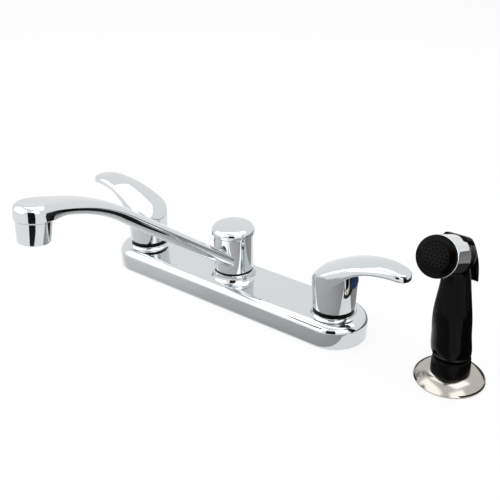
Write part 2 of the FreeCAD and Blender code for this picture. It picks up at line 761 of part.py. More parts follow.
def spout_thickness(distance):
    """The tube's thickness: even along the straight run, then thinner towards the head."""
    share = min(1.0, max(0.0, (distance - 135) / 50))
    return SPOUT_THICKNESS + (SPOUT_TIP_THICKNESS - SPOUT_THICKNESS) * share


def spout_length():
    """The centreline's length, from the post's axis to the aerator's axis."""
    rise = math.radians(SPOUT_RISE_DEG)
    last = math.asin(math.sin(rise) - (SPOUT_REACH - SPOUT_STRAIGHT_Y) / SPOUT_BEND_RADIUS)
    return SPOUT_STRAIGHT_Y / math.cos(rise) + (rise - last) * SPOUT_BEND_RADIUS


def oval(distance, width, thickness):
    """A flattened oval across the centreline, which thins from below."""
    y, z, slope = spout_line(distance)
    lift = (SPOUT_THICKNESS - spout_thickness(distance)) / 2
    y, z = y + lift * math.sin(slope), z + lift * math.cos(slope)
    points = []
    for i in range(20):
        turn = 2 * math.pi * i / 20
        c, s = math.cos(turn), math.sin(turn)
        across = math.copysign(abs(c) ** 0.8, c) * width / 2
        up = math.copysign(abs(s) ** 0.8, s) * thickness / 2
        points.append(V(across, y + up * math.sin(slope), z + up * math.cos(slope)))
    curve = Part.BSplineCurve()
    curve.interpolate(Points=points, PeriodicFlag=True)
    return Part.Wire(curve.toShape())


def spout_tube(inset, start):
    """The tube along the centreline, drawn in by an inset on every side."""
    length = spout_length()
    stations = [start, 45, 80, 115, 140, 154, 168, 184, 200, 216, length]
    wires = []
    for distance in stations:
        share = max(0.0, (distance - 150) / (length - 150))
        width = SPOUT_WIDTH_AT_HUB + (SPOUT_WIDTH_AT_TIP - SPOUT_WIDTH_AT_HUB) * share * share
        thickness = spout_thickness(distance)
        wires.append(oval(distance, width - 2 * inset, thickness - 2 * inset))
    return upright(Part.makeLoft(wires, True, False))


def at_spout_end(shape):
    """A shape made about the Z axis, moved so that Z is the aerator's axis."""
    y, z, slope = spout_line(spout_length())
    turned_shape = rotated(shape, V(0, 0, 0), X_AXIS, -math.degrees(slope))
    return upright(moved(turned_shape, 0, y, z))


def spout():
    """The spout: a hub that turns on the post, an oval tube and a round head for the aerator."""
    hub = turned(
        [
            (0.0, SPOUT_HUB_BOTTOM_Z),
            (SPOUT_HUB_RADIUS - 0.5, SPOUT_HUB_BOTTOM_Z),
            (SPOUT_HUB_RADIUS, SPOUT_HUB_BOTTOM_Z + 0.5),
            (SPOUT_HUB_RADIUS, SPOUT_HUB_TOP_Z - 0.6),
            (SPOUT_HUB_RADIUS - 0.6, SPOUT_HUB_TOP_Z),
            (0.0, SPOUT_HUB_TOP_Z),
        ]
    )
    half = SPOUT_THICKNESS / 2
    under = half - SPOUT_TIP_THICKNESS
    head = Part.makeCylinder(SPOUT_HEAD_RADIUS, SPOUT_TIP_THICKNESS, V(0, 0, under))
    head = head.makeFillet(4.6, edges_at(head, half))
    body = hub.fuse(spout_tube(0.0, 12.6))
    body = body.fuse(at_spout_end(head))
    room = Part.makeCylinder(SPOUT_HEAD_RADIUS - 3.0, SPOUT_TIP_THICKNESS - 3.2, V(0, 0, under - 0.1))
    body = body.cut(spout_tube(SPOUT_WALL, 14.0))
    body = body.cut(at_spout_end(room))
    seat = Part.makeCylinder(AERATOR_TOP_RADIUS + 0.5, 4.0, V(0, 0, under - 4.0))
    body = body.cut(at_spout_end(seat))
    body = body.cut(rod(SPOUT_HUB_BORE, V(0, 0, 20), V(0, 0, 70)))
    return upright(max(body.Solids, key=lambda solid: solid.Volume))


def aerator_housing():
    """The chromed ring that screws into the spout's head."""
    return at_spout_end(
        turned(
            [
                (AERATOR_BORE, AERATOR_BOTTOM),
                (AERATOR_LOW_RADIUS - 0.5, AERATOR_BOTTOM),
                (AERATOR_LOW_RADIUS, AERATOR_BOTTOM + 0.5),
                (AERATOR_TOP_RADIUS, AERATOR_TOP - 0.4),
                (AERATOR_TOP_RADIUS - 0.4, AERATOR_TOP),
                (SPOUT_HEAD_RADIUS - 3.0 - FIT_GAP, AERATOR_TOP),
                (SPOUT_HEAD_RADIUS - 3.0 - FIT_GAP, AERATOR_TOP + 5.2),
                (AERATOR_BORE, AERATOR_TOP + 5.2),
            ]
        )
    )


def aerator_insert():
    """The plastic cartridge with the outlet screen, flush inside the housing."""
    outer = AERATOR_BORE - FIT_GAP
    low = AERATOR_BOTTOM + 0.8
    insert = turned(
        [
            (0.0, low),
            (outer, low),
            (outer, low + 13.5),
            (outer - 1.2, low + 13.5),
            (outer - 1.2, low + 2.5),
            (0.0, low + 2.5),
        ]
    )
    for radius, count in ((0.0, 1), (3.0, 6), (6.0, 12)):
        for i in range(count):
            turn = 2 * math.pi * i / count
            x, y = radius * math.cos(turn), radius * math.sin(turn)
            insert = insert.cut(rod(0.75, V(x, y, low - 1), V(x, y, low + 4)))
    return at_spout_end(upright(insert))


def aerator_washer():
    """The rubber washer between the insert and the spout."""
    low = AERATOR_BOTTOM + 0.8 + 13.5
    outer = AERATOR_BORE - 0.1
    return at_spout_end(turned([(5.4, low), (outer, low), (outer, low + 1.8), (5.4, low + 1.8)]))


# ---- sprayer holder and sprayer (made about x = 0, then moved to the sprayer's hole) -----------
def at_sprayer(shape):
    """A shape moved to the sprayer's deck hole."""
    return upright(moved(shape, SPRAYER_OFFSET))


def sprayer_flange():
    """The satin deck flange: a thin dome with a hole for the guide."""
    wall = 1.7
    return at_sprayer(
        turned(
            [
                (FLANGE_HOLE, FLANGE_TOP_Z - wall),
                ((20.3, 5.0), (FLANGE_RADIUS - wall - 0.3, 0.0)),
                (FLANGE_RADIUS, 0.0),
                (FLANGE_RADIUS, 1.0),
                ((20.9, 6.5), (15.4, FLANGE_TOP_Z)),
                (FLANGE_HOLE, FLANGE_TOP_Z),
            ]
        )
    )


def sprayer_guide():
    """The black guide: a threaded shank, a collar on the flange and a cup for the sprayer."""
    return at_sprayer(
        turned(
            [
                (GUIDE_BORE, GUIDE_BOTTOM_Z),
                (GUIDE_SHANK_RADIUS - 1.0, GUIDE_BOTTOM_Z),
                (GUIDE_SHANK_RADIUS, GUIDE_BOTTOM_Z + 1.0),
                (GUIDE_SHANK_RADIUS, FLANGE_TOP_Z + FIT_GAP),
                (14.5, FLANGE_TOP_Z + FIT_GAP),
                ((14.5, 13.5), (13.9, GUIDE_TOP_Z - 1.0)),
                (13.4, GUIDE_TOP_Z),
                (GUIDE_MOUTH, GUIDE_TOP_Z),
                (GUIDE_BORE, 12.0),
            ]
        )
    )


def guide_washer():
    """The steel washer under the deck."""
    low = WASHER_TOP_Z - WASHER_THICKNESS
    ring = turned([(14.0, low), (21.0, low), (21.0, WASHER_TOP_Z), (14.0, WASHER_TOP_Z)])
    return at_sprayer(ring)


def guide_nut():
    """The plastic nut that holds the guide down."""
    top = WASHER_TOP_Z - WASHER_THICKNESS
    bore = rod(GUIDE_SHANK_RADIUS + FIT_GAP, V(0, 0, top - 10), V(0, 0, top + 1))
    return at_sprayer(upright(hexagon(36.0, 9.0, top - 9.0).cut(bore)))


def along_nozzle(shape):
    """A shape made about the Z axis, placed so that Z is the nozzle's axis, from the ring's back."""
    back_y, back_z = NOZZLE_BACK
    turned_shape = rotated(shape, V(0, 0, 0), X_AXIS, 90.0 - NOZZLE_TILT_DEG)
    return moved(turned_shape, 0, back_y, back_z)


def circle_wire(z, y, radius):
    """A level circle as one closed edge."""
    return Part.Wire(Part.makeCircle(radius, V(0, y, z), Z_AXIS))


def turned_about_pivot(y, z, degrees):
    """Where a point of the trigger goes when the trigger is pressed by an angle."""
    turn = math.radians(degrees)
    dy, dz = y - TRIGGER_PIVOT[0], z - TRIGGER_PIVOT[1]
    return (TRIGGER_PIVOT[0] + dy * math.cos(turn) + dz * math.sin(turn),
            TRIGGER_PIVOT[1] - dy * math.sin(turn) + dz * math.cos(turn))


def side_prism(points, low_x, high_x):
    """A prism between two x positions, from a closed outline of (y, z) corners."""
    corners = [V(low_x, y, z) for y, z in points]
    return Part.Face(Part.makePolygon(corners + corners[:1])).extrude(V(high_x - low_x, 0, 0))


def trigger_room():
    """The space that the pressed trigger sweeps, and the slots for its two ears."""
    floor = []
    for y, z in TRIGGER_INNER:
        moved_y, moved_z = turned_about_pivot(y, z, TRIGGER_TRAVEL_DEG)
        floor.append((min(y, moved_y) - 0.35, min(z, moved_z) - 0.35))
    outline = [(floor[0][0] - 1.0, floor[0][1] + 0.6)] + floor + [(30, 70), (30, 140), (-20, 140)]
    room = side_prism(outline, -TRIGGER_HALF_WIDTH - 0.6, TRIGGER_HALF_WIDTH + 0.6)
    pad = side_prism([(-3.7, 92.5), (20, 92.5), (20, 104.4), (-3.7, 104.4)], -4.0, 4.0)
    room = room.fuse(pad)
    pivot_y, pivot_z = TRIGGER_PIVOT
    for low in (-7.2, 3.8):
        slot = rod(3.1, V(low, pivot_y, pivot_z), V(low + 3.4, pivot_y, pivot_z))
        up = Part.makeBox(3.4, 6.2, 14, V(low, pivot_y - 3.1, pivot_z))
        slot = slot.fuse(rotated(up, V(0, pivot_y, pivot_z), X_AXIS, -NOZZLE_TILT_DEG))
        room = room.fuse(slot)
    return room


def sprayer_grip():
    """The black grip and barrel in one piece, with its water passages and the trigger's recess."""
    wires = [circle_wire(z, y, radius) for z, y, radius in GRIP_SECTIONS]
    body = upright(Part.makeLoft(wires, True, False))
    foot = turned(
        [
            (0.0, 12.6),
            (9.9, 12.6),
            (11.7, GRIP_BOTTOM_Z),
            (GRIP_GROOVE_RADIUS, GRIP_BOTTOM_Z),
            (GRIP_GROOVE_RADIUS, 23.9),
            (0.0, 23.9),
        ]
    )
    barrel = turned(
        [
            (0.0, -26.0),
            ((9.4, -21.0), (BARREL_RADIUS - 0.3, -9.0)),
            (BARREL_RADIUS, -0.2),
            (11.0, -0.2),
            (11.0, 16.0),
            (0.0, 16.0),
        ]
    )
    body = body.fuse(foot).fuse(along_nozzle(barrel))
    body = body.cut(trigger_room())
    body = body.cut(rod(6.05, V(0, 0, 12), V(0, 0, 32)))
    body = body.cut(rod(3.4, V(0, 0, 25), V(0, -12.5, 99)))
    body = body.cut(along_nozzle(rod(4.0, V(0, 0, -9), V(0, 0, 17))))
    body = body.cut(rod(PLUNGER_RADIUS + FIT_GAP, V(0, 2, PLUNGER_Z), V(0, -10, PLUNGER_Z)))
    body = body.cut(rod(4.4, V(0, -8.5, PLUNGER_Z), V(0, -18, PLUNGER_Z)))
    pivot_y, pivot_z = TRIGGER_PIVOT
    body = body.cut(rod(PIN_RADIUS + FIT_GAP, V(-9, pivot_y, pivot_z), V(9, pivot_y, pivot_z)))
    return at_sprayer(max(body.Solids, key=lambda solid: solid.Volume))


def nozzle_ring():
    """The chromed ring around the nozzle."""
    inner = 11.0 + FIT_GAP
    ring = turned(
        [
            (inner, 0.0),
            (NOZZLE_RING_RADIUS - 0.5, 0.0),
            (NOZZLE_RING_RADIUS, 0.5),
            (NOZZLE_RING_RADIUS, NOZZLE_RING_LENGTH - 0.5),
            (NOZZLE_RING_RADIUS - 0.5, NOZZLE_RING_LENGTH),
            (inner, NOZZLE_RING_LENGTH),
        ]
    )
    return at_sprayer(along_nozzle(ring))


def nozzle_bezel():
    """The black ring that holds the spray face."""
    front = NOZZLE_RING_LENGTH
    bezel = turned(
        [
            (FACE_RADIUS + FIT_GAP, 16.2),
            (11.0, 16.2),
            (11.0, front + FIT_GAP),
            (13.7, front + FIT_GAP),
            (13.9, front + 0.9),
            ((13.4, front + 1.7), (12.3, front + 2.1)),
            (FACE_RADIUS + FIT_GAP, front + 3.0),
        ]
    )
    return at_sprayer(along_nozzle(bezel))


def nozzle_face():
    """The perforated spray face."""
    low, high = 19.0, NOZZLE_RING_LENGTH + 3.0
    dome = ((FACE_RADIUS / 2, high + 0.45), (0.0, high + 0.6))
    face = turned([(0.0, low), (FACE_RADIUS, low), (FACE_RADIUS, high), dome])
    for radius, count in ((0.0, 1), (2.6, 6), (5.0, 12), (7.4, 18)):
        for i in range(count):
            turn = 2 * math.pi * i / count
            x, y = radius * math.cos(turn), radius * math.sin(turn)
            face = face.cut(rod(0.5, V(x, y, low - 1), V(x, y, high + 2)))
    return at_sprayer(along_nozzle(upright(face)))


def trigger():
    """The hooded trigger: a curved plate with two ears on the pin and a pad for the plunger."""
    edges = []
    for row in (TRIGGER_OUTER, TRIGGER_INNER[::-1]):
        curve = Part.BSplineCurve()
        curve.interpolate([V(-TRIGGER_HALF_WIDTH, y, z) for y, z in row])
        edges.append(curve.toShape())
    ends = [
        Part.makeLine(edges[0].lastVertex().Point, edges[1].firstVertex().Point),
        Part.makeLine(edges[1].lastVertex().Point, edges[0].firstVertex().Point),
    ]
    plate = Part.Face(Part.Wire([edges[0], ends[0], edges[1], ends[1]]))
    plate = upright(plate.extrude(V(2 * TRIGGER_HALF_WIDTH, 0, 0)))
    rims = [e for e in plate.Edges if e.BoundBox.XLength < 1e-3 and e.BoundBox.ZLength > 30]
    outer = sorted(rims, key=lambda e: -e.BoundBox.ZMax)[:2]
    plate = plate.makeFillet(2.0, outer)
    pivot_y, pivot_z = TRIGGER_PIVOT
    for low in (-6.9, 4.1):
        ear = rod(2.4, V(low, pivot_y, pivot_z), V(low + 2.8, pivot_y, pivot_z))
        neck = Part.makeBox(2.8, 4.8, 4.2, V(low, pivot_y - 2.4, pivot_z))
        ear = ear.fuse(rotated(neck, V(0, pivot_y, pivot_z), X_AXIS, -NOZZLE_TILT_DEG))
        plate = plate.fuse(ear)
    plate = plate.fuse(side_prism([(-0.3, 97.2), (4.4, 97.2), (0.8, 103.2), (-0.3, 103.2)], -3.4, 3.4))
    plate = plate.cut(rod(PIN_RADIUS + FIT_GAP, V(-8, pivot_y, pivot_z), V(8, pivot_y, pivot_z)))
    return at_sprayer(max(plate.Solids, key=lambda solid: solid.Volume))


def trigger_pin():
    """The steel pin that the trigger turns on."""
    pivot_y, pivot_z = TRIGGER_PIVOT
    return at_sprayer(rod(PIN_RADIUS, V(-6.9, pivot_y, pivot_z), V(6.9, pivot_y, pivot_z)))


def plunger():
    """The valve's plunger, with a rounded tip for the trigger and a stop flange."""
    tip = -PLUNGER_TIP_Y
    middle = (PLUNGER_RADIUS * 0.7071, tip + PLUNGER_RADIUS * 0.2929)
    steps = [
        (0.0, tip),
        (middle, (PLUNGER_RADIUS, tip + PLUNGER_RADIUS)),
        (PLUNGER_RADIUS, 8.8),
        (4.0, 8.8),
        (4.0, 10.8),
        (2.0, 10.8),
        (2.0, 15.6),
        (0.0, 15.6),
    ]
    return at_sprayer(moved(rotated(turned(steps), V(0, 0, 0), X_AXIS, 90), z=PLUNGER_Z))


def valve_seat():
    """The brass ring at the end of the plunger's chamber."""
    ring = turned([(2.4, 16.3), (4.35, 16.3), (4.35, 17.9), (2.4, 17.9)])
    return at_sprayer(moved(rotated(ring, V(0, 0, 0), X_AXIS, 90), z=PLUNGER_Z))


def inlet_nipple():
    """The brass hose end under the grip."""
    return at_sprayer(
        turned([(3.2, 0.0), (7.9, 0.0), (8.5, 0.6), (8.5, 11.4), (6.0, 11.4), (6.0, 31.0), (3.2, 31.0)])
    )


def inlet_washer():
    """The rubber washer between the hose end and the grip."""
    return at_sprayer(turned([(6.05, 11.45), (8.6, 11.45), (8.6, 12.55), (6.05, 12.55)]))


# ---- all the pieces ----------------------------------------------------------------------------
def export(name, shape):
    """Write one node, a solid or a list of solids, to its own file."""
    if isinstance(shape, list):
        shape = Part.makeCompound(shape)
    shape.exportStep("parts/" + name + ".step")


def pieces():
    """Every node's name with its shape."""
    named = {
        "deck_plate": deck_plate(),
        "deck_gasket": deck_gasket(),
        "centre_post": centre_post(),
        "post_o_rings": post_o_rings(),
        "spout_glide_ring": spout_glide_ring(),
        "spout_cap": spout_cap(),
        "spray_outlet_nipple": spray_nipple(),
        "diverter_seat": diverter_seat(),
        "diverter_piston": diverter_piston(),
        "diverter_seal": diverter_seal(),
        "diverter_spring": diverter_spring(),
        "seat_seals": seat_seals(),
        "bonnet_nuts": bonnet_nuts(),
        "shank_washers": shank_washers(),
        "shank_nuts": shank_nuts(),
        "handle_glide_rings": handle_glide_rings(),
        "spout": spout(),
        "aerator_housing": aerator_housing(),
        "aerator_insert": aerator_insert(),
        "aerator_washer": aerator_washer(),
        "sprayer_flange": sprayer_flange(),
        "sprayer_guide": sprayer_guide(),
        "sprayer_guide_washer": guide_washer(),
        "sprayer_guide_nut": guide_nut(),
        "sprayer_grip": sprayer_grip(),
        "sprayer_nozzle_ring": nozzle_ring(),
        "sprayer_bezel": nozzle_bezel(),
        "sprayer_face": nozzle_face(),
        "sprayer_trigger": trigger(),
        "sprayer_trigger_pin": trigger_pin(),
        "sprayer_plunger": plunger(),
        "sprayer_valve_seat": valve_seat(),
        "sprayer_inlet_nipple": inlet_nipple(),
        "sprayer_inlet_washer": inlet_washer(),
    }
    for prefix, side in (("hot", -1), ("cold", 1)):
        named[prefix + "_valve_body"] = valve_body(side)
        named[prefix + "_cross_tube"] = cross_tube(side)
        named[prefix + "_fixed_disc"] = fixed_disc(side)
        named[prefix + "_moving_disc"] = moving_disc(side)
        named[prefix + "_cartridge_housing"] = cartridge_housing(side)
        named[prefix + "_stem"] = valve_stem(side)
        named[prefix + "_handle"] = handle(side)
        named[prefix + "_index_button"] = index_button(side)
        named[prefix + "_handle_screw"] = set_screw(side)
    return named


os.makedirs("parts", exist_ok=True)
for node_name, node_shape in pieces().items():
    export(node_name, node_shape)
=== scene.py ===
"""The looks of a two handle kitchen faucet with a side sprayer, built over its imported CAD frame.

Everything is in metres in the frame of the CAD model: the origin is the centre of the deck
plate's underside, +X points to the cold handle and the sprayer, -Y to the user and +Z up. Sizes in
the classes below are in millimetres and turn into metres when a mesh is made.
"""

import json
import logging
import math
from dataclasses import dataclass, field
from enum import Enum
from typing import Optional, Sequence

import bmesh
import bpy
import numpy as np
from mathutils import Matrix

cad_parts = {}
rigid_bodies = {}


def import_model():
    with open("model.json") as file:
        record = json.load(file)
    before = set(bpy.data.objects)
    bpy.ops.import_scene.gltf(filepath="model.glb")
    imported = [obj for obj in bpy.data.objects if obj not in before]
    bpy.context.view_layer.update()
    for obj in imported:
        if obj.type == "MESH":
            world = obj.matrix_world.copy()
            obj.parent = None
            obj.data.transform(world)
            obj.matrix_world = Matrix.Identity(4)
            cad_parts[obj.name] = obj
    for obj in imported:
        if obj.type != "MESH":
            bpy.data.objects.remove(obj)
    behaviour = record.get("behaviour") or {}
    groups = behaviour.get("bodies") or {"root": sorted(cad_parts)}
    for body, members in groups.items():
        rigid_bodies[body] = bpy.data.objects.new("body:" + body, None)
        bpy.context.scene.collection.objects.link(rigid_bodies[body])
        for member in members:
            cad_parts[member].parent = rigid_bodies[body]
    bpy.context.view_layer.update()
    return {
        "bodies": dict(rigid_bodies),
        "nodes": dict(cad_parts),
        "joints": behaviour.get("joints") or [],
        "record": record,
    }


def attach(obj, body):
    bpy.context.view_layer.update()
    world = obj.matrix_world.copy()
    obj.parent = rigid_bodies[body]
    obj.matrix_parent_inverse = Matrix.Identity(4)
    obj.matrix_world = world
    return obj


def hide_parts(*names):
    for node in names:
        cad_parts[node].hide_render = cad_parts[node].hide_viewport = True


LOG = logging.getLogger("faucet")
MILLIMETRE = 0.001
TINY = 1e-9
HANDLE_X = 101.6
SPRAYER_X = 203.2
Array = np.ndarray
Pair = tuple[float, float]
Triple = tuple[float, float, float]
Quad = tuple[float, float, float, float]


# ---- colour and material helpers ---------------------------------------------------------------
def linear(hex_colour: str) -> Quad:
    """Turn an sRGB hex colour into linear red, green, blue and an alpha of one."""
    channels = [int(hex_colour[i : i + 2], 16) / 255 for i in (1, 3, 5)]
    bright = [c / 12.92 if c <= 0.04045 else ((c + 0.055) / 1.055) ** 2.4 for c in channels]
    return bright[0], bright[1], bright[2], 1.0


def add_node(
    tree: bpy.types.NodeTree, kind: str, inputs: Optional[dict] = None, **settings: object
) -> bpy.types.Node:
    """Add one shader node.

    Args:
        tree: The node tree that gets the node.
        kind: Blender's name of the node's type, without ShaderNode.
        inputs: By input name or index, an output socket to link or a default value.
        settings: Attributes of the node, set first because they can change its inputs.

    Returns:
        The new node.
    """
    node = tree.nodes.new("ShaderNode" + kind)
    for name, value in settings.items():
        setattr(node, name, value)
    for name, value in (inputs or {}).items():
        if isinstance(value, bpy.types.NodeSocket):
            tree.links.new(value, node.inputs[name])
        else:
            node.inputs[name].default_value = value
    return node


def fresh_tree(name: str) -> tuple[bpy.types.Material, bpy.types.NodeTree]:
    """Make an empty node material and return it with its tree."""
    material = bpy.data.materials.new(name)
    material.use_nodes = True
    material.node_tree.nodes.clear()
    return material, material.node_tree


def seen_directly(tree: bpy.types.NodeTree) -> bpy.types.NodeSocket:
    """One on camera, mirror and glass rays, and zero on the rays that carry light."""
    rays = add_node(tree, "LightPath").outputs
    total = rays["Is Camera Ray"]
    for kind in ("Is Glossy Ray", "Is Transmission Ray"):
        added = add_node(tree, "Math", {0: total, 1: rays[kind]}, operation="ADD", use_clamp=True)
        total = added.outputs["Value"]
    return total


class Grain(Enum):
    """How the fine marks of a surface run."""

    POLISHED = "polished"
    ROUND_BRUSHED = "brushed in rings"
    MOULDED = "moulded"
    MACHINED = "turned on a lathe"


@dataclass(frozen=True)
class Finish:
    """A surface finish: what the piece is made of and how that was worked.

    The marks are a noise on Object coordinates, of the real size in millimetres or the smallest
    that still shows. They move the roughness by the spread to either side.
    """

    name: str
    colour: str
    metallic: float
    roughness: float
    spread: float
    marks_mm: float
    bump_mm: float
    grain: Grain
    centre: Triple = (0.0, 0.0, 0.0)
    ior: float = 1.5
    specular: float = 0.5
    tint: str = ""

    def material(self) -> bpy.types.Material:
        """A node material whose roughness and height vary with the marks."""
        material, tree = fresh_tree(self.name)
        coords = add_node(tree, "TexCoord")
        centre = tuple(-c * MILLIMETRE for c in self.centre)
        place = add_node(tree, "Mapping", {"Location": centre, "Vector": coords.outputs["Object"]})
        height = self.pattern(tree, place.outputs["Vector"])
        low, high = max(0.0, self.roughness - self.spread), self.roughness + self.spread
        rough = add_node(tree, "MapRange", {"To Min": low, "To Max": high, "Value": height})
        relief = {"Strength": 1.0, "Distance": self.bump_mm * MILLIMETRE, "Height": height}
        bump = add_node(tree, "Bump", relief)
        inputs = {
            "Base Color": linear(self.colour),
            "Metallic": self.metallic,
            "IOR": self.ior,
            "Specular IOR Level": self.specular,
            "Roughness": rough.outputs["Result"],
            "Normal": bump.outputs["Normal"],
        }
        if self.tint:
            cloudy = {"Scale": 60.0, "Detail": 3.0, "Vector": place.outputs["Vector"]}
            clouds = add_node(tree, "TexNoise", cloudy).outputs["Fac"]
            colours = {0: clouds, 6: linear(self.colour), 7: linear(self.tint)}
            inputs["Base Color"] = add_node(tree, "Mix", colours, data_type="RGBA").outputs[2]
        shader = add_node(tree, "BsdfPrincipled", inputs)
        add_node(tree, "OutputMaterial", {"Surface": shader.outputs["BSDF"]})
        return material

    def pattern(
        self, tree: bpy.types.NodeTree, vector: bpy.types.NodeSocket
    ) -> bpy.types.NodeSocket:
        """The marks' height from 0 to 1, from Object coordinates centred on the piece."""
        if self.grain in (Grain.ROUND_BRUSHED, Grain.MACHINED):
            # Rings: the distance from the axis and the height, with no change along the turn.
            parts = add_node(tree, "SeparateXYZ", {"Vector": vector}).outputs
            flat = add_node(tree, "CombineXYZ", {"X": parts["X"], "Y": parts["Y"]})
            radius = add_node(tree, "VectorMath", {0: flat.outputs["Vector"]}, operation="LENGTH")
            rings = add_node(tree, "CombineXYZ", {"X": radius.outputs["Value"], "Z": parts["Z"]})
            vector = rings.outputs["Vector"]
        scale = 1.0 / (self.marks_mm * MILLIMETRE)
        marks = {"Scale": scale, "Detail": 4.0, "Roughness": 0.55, "Vector": vector}
        return add_node(tree, "TexNoise", marks).outputs["Fac"]


# The numbers are metallic, roughness, its spread, and the size and height of the marks in mm.
# Bright chrome plate on polished brass or zinc: a blue-white mirror with a faint polishing haze.
CHROME = Finish("Chrome plate, polished", "#D4D7D9", 1.0, 0.05, 0.02, 9.0, 0.002, Grain.POLISHED)
# Satin nickel: warm grey, brushed in rings about the sprayer's axis, so highlights spread.
SATIN_NICKEL = Finish(
    "Satin nickel plate, brushed in rings", "#B3AFA8", 1.0, 0.17, 0.05, 0.35, 0.004,
    Grain.ROUND_BRUSHED, (SPRAYER_X, 0.0, 0.0),
)
# Black ABS from a polished mould. The room is white all round, so the black stays deep only with a
# low share of mirror. The holder's acetal is duller, as it comes from an etched mould.
BLACK_ABS = Finish(
    "Black ABS, polished mould", "#050403", 0.0, 0.16, 0.05, 5.0, 0.004,
    Grain.MOULDED, ior=1.45, specular=0.08,
)
BLACK_ACETAL = Finish(
    "Black acetal, etched mould", "#060505", 0.0, 0.3, 0.07, 0.8, 0.006,
    Grain.MOULDED, ior=1.45, specular=0.08,
)
BLUE_ABS, RED_ABS = (
    Finish(name, colour, 0.0, 0.2, 0.05, 2.0, 0.003, Grain.MOULDED, ior=1.5, specular=0.12)
    for name, colour in (("Blue ABS, moulded", "#0F3055"), ("Red ABS, moulded", "#7E1418"))
)
GREY_ACETAL, WHITE_ACETAL, CERAMIC, RUBBER = (
    Finish(name, colour, 0.0, *numbers, Grain.MOULDED, ior=ior)
    for name, colour, numbers, ior in (
        ("Grey acetal, moulded", "#8D9094", (0.42, 0.06, 0.8, 0.006), 1.48),
        ("White acetal, moulded", "#E2E2DD", (0.38, 0.06, 0.8, 0.005), 1.48),
        ("Alumina, lapped", "#ECEAE3", (0.12, 0.03, 0.4, 0.001), 1.76),
        ("Nitrile rubber, moulded", "#17171A", (0.6, 0.1, 0.6, 0.01), 1.52),
    )
)
BRASS, COPPER, STEEL = (
    Finish(name, colour, 1.0, *numbers, grain, tint=tint)
    for name, colour, numbers, grain, tint in (
        ("Brass, turned", "#C9A55C", (0.24, 0.08, 0.3, 0.004), Grain.MACHINED, "#B08A45"),
        ("Copper tube, drawn", "#C98A6A", (0.3, 0.08, 1.2, 0.004), Grain.POLISHED, "#A86A4B"),
        ("Zinc plated steel", "#A3A6AA", (0.3, 0.08, 0.5, 0.003), Grain.MACHINED, ""),
    )
)

# The record's material slots.
FINISHES = {
    "chrome": CHROME, "satin_nickel": SATIN_NICKEL, "black_gloss": BLACK_ABS,
    "black_matte": BLACK_ACETAL, "blue": BLUE_ABS, "red": RED_ABS, "brass": BRASS,
    "copper_tube": COPPER, "grey_plastic": GREY_ACETAL, "white_plastic": WHITE_ACETAL,
    "ceramic": CERAMIC, "rubber": RUBBER, "steel": STEEL,
}


# ---- surfaces worked out with numpy ------------------------------------------------------------
def grid_faces(rows: int, columns: int, wrap: bool) -> Array:
    """The four point numbers of each quad of a grid that is stored row by row."""
    width = columns if wrap else columns - 1
    row, column = np.meshgrid(np.arange(rows - 1), np.arange(width), indexing="ij")
    after = (column + 1) % columns
    here, below = row * columns, (row + 1) * columns
    corners = (here + column, here + after, below + after, below + column)
    return np.stack(corners, axis=-1).reshape(-1, 4)


@dataclass
class Surface:
    """Grids of points that together make one piece."""

    name: str
    points: list[Array] = field(default_factory=list)
    faces: list[Array] = field(default_factory=list)
    count: int = 0

    def add(self, grid: Array, wrap: bool = False, flip: bool = False) -> "Surface":
        """Add a grid of points in millimetres, rows by columns by three.

        Wrap closes each row on itself, and flip points the faces the other way.
        """
        rows, columns = grid.shape[:2]
        quads = grid_faces(rows, columns, wrap)
        self.points.append(grid.reshape(-1, 3))
        self.faces.append((quads[:, ::-1] if flip else quads) + self.count)
        self.count += rows * columns
        return self

    def mesh_object(self, sharp_degrees: float = 40.0) -> bpy.types.Object:
        """One smooth shaded object at the origin. Edges that bend more than this stay sharp."""
        mesh = bpy.data.meshes.new(self.name)
        points = np.concatenate(self.points) * MILLIMETRE
        mesh.from_pydata(points.tolist(), [], np.concatenate(self.faces).tolist())
        made = bpy.data.objects.new(self.name, mesh)
        bpy.context.scene.collection.objects.link(made)
        tidy_mesh(mesh, sharp_degrees)
        return made


def tidy_mesh(mesh: bpy.types.Mesh, sharp_degrees: float) -> None:
    """Join doubled points, drop faces with no area, and shade smooth between sharp edges."""
    work = bmesh.new()
    work.from_mesh(mesh)
    bmesh.ops.remove_doubles(work, verts=work.verts, dist=2e-6)
    bmesh.ops.dissolve_degenerate(work, edges=work.edges, dist=1e-7)
    work.to_mesh(mesh)
    work.free()
    mesh.polygons.foreach_set("use_smooth", np.ones(len(mesh.polygons), dtype=bool))
    mesh.set_sharp_from_angle(angle=math.radians(sharp_degrees))
    mesh.update()


def arc(centre: Pair, radius: float, start: float, end: float, count: int = 10) -> Array:
    """Points on a circle's arc, from one angle to another in degrees."""
    turn = np.radians(np.linspace(start, end, count))
    return np.stack([centre[0] + radius * np.cos(turn), centre[1] + radius * np.sin(turn)], axis=1)


def profile(*parts: object) -> Array:
    """Join corners and runs of points into one line of (radius, height) pairs."""
    return np.concatenate([np.atleast_2d(np.asarray(p, dtype=float)) for p in parts])


def subdivided(line: Array, step: float) -> Array:
    """A line of pairs whose runs longer than the step are split evenly."""
    lengths = np.linalg.norm(np.diff(line, axis=0), axis=1)
    pieces = np.maximum(1, np.ceil(lengths / step)).astype(int)
    runs = [i + np.arange(n) / n for i, n in enumerate(pieces)]
    place = np.concatenate(runs + [[len(line) - 1.0]])
    index = np.arange(len(line))
    return np.stack([np.interp(place, index, line[:, k]) for k in (0, 1)], axis=1)


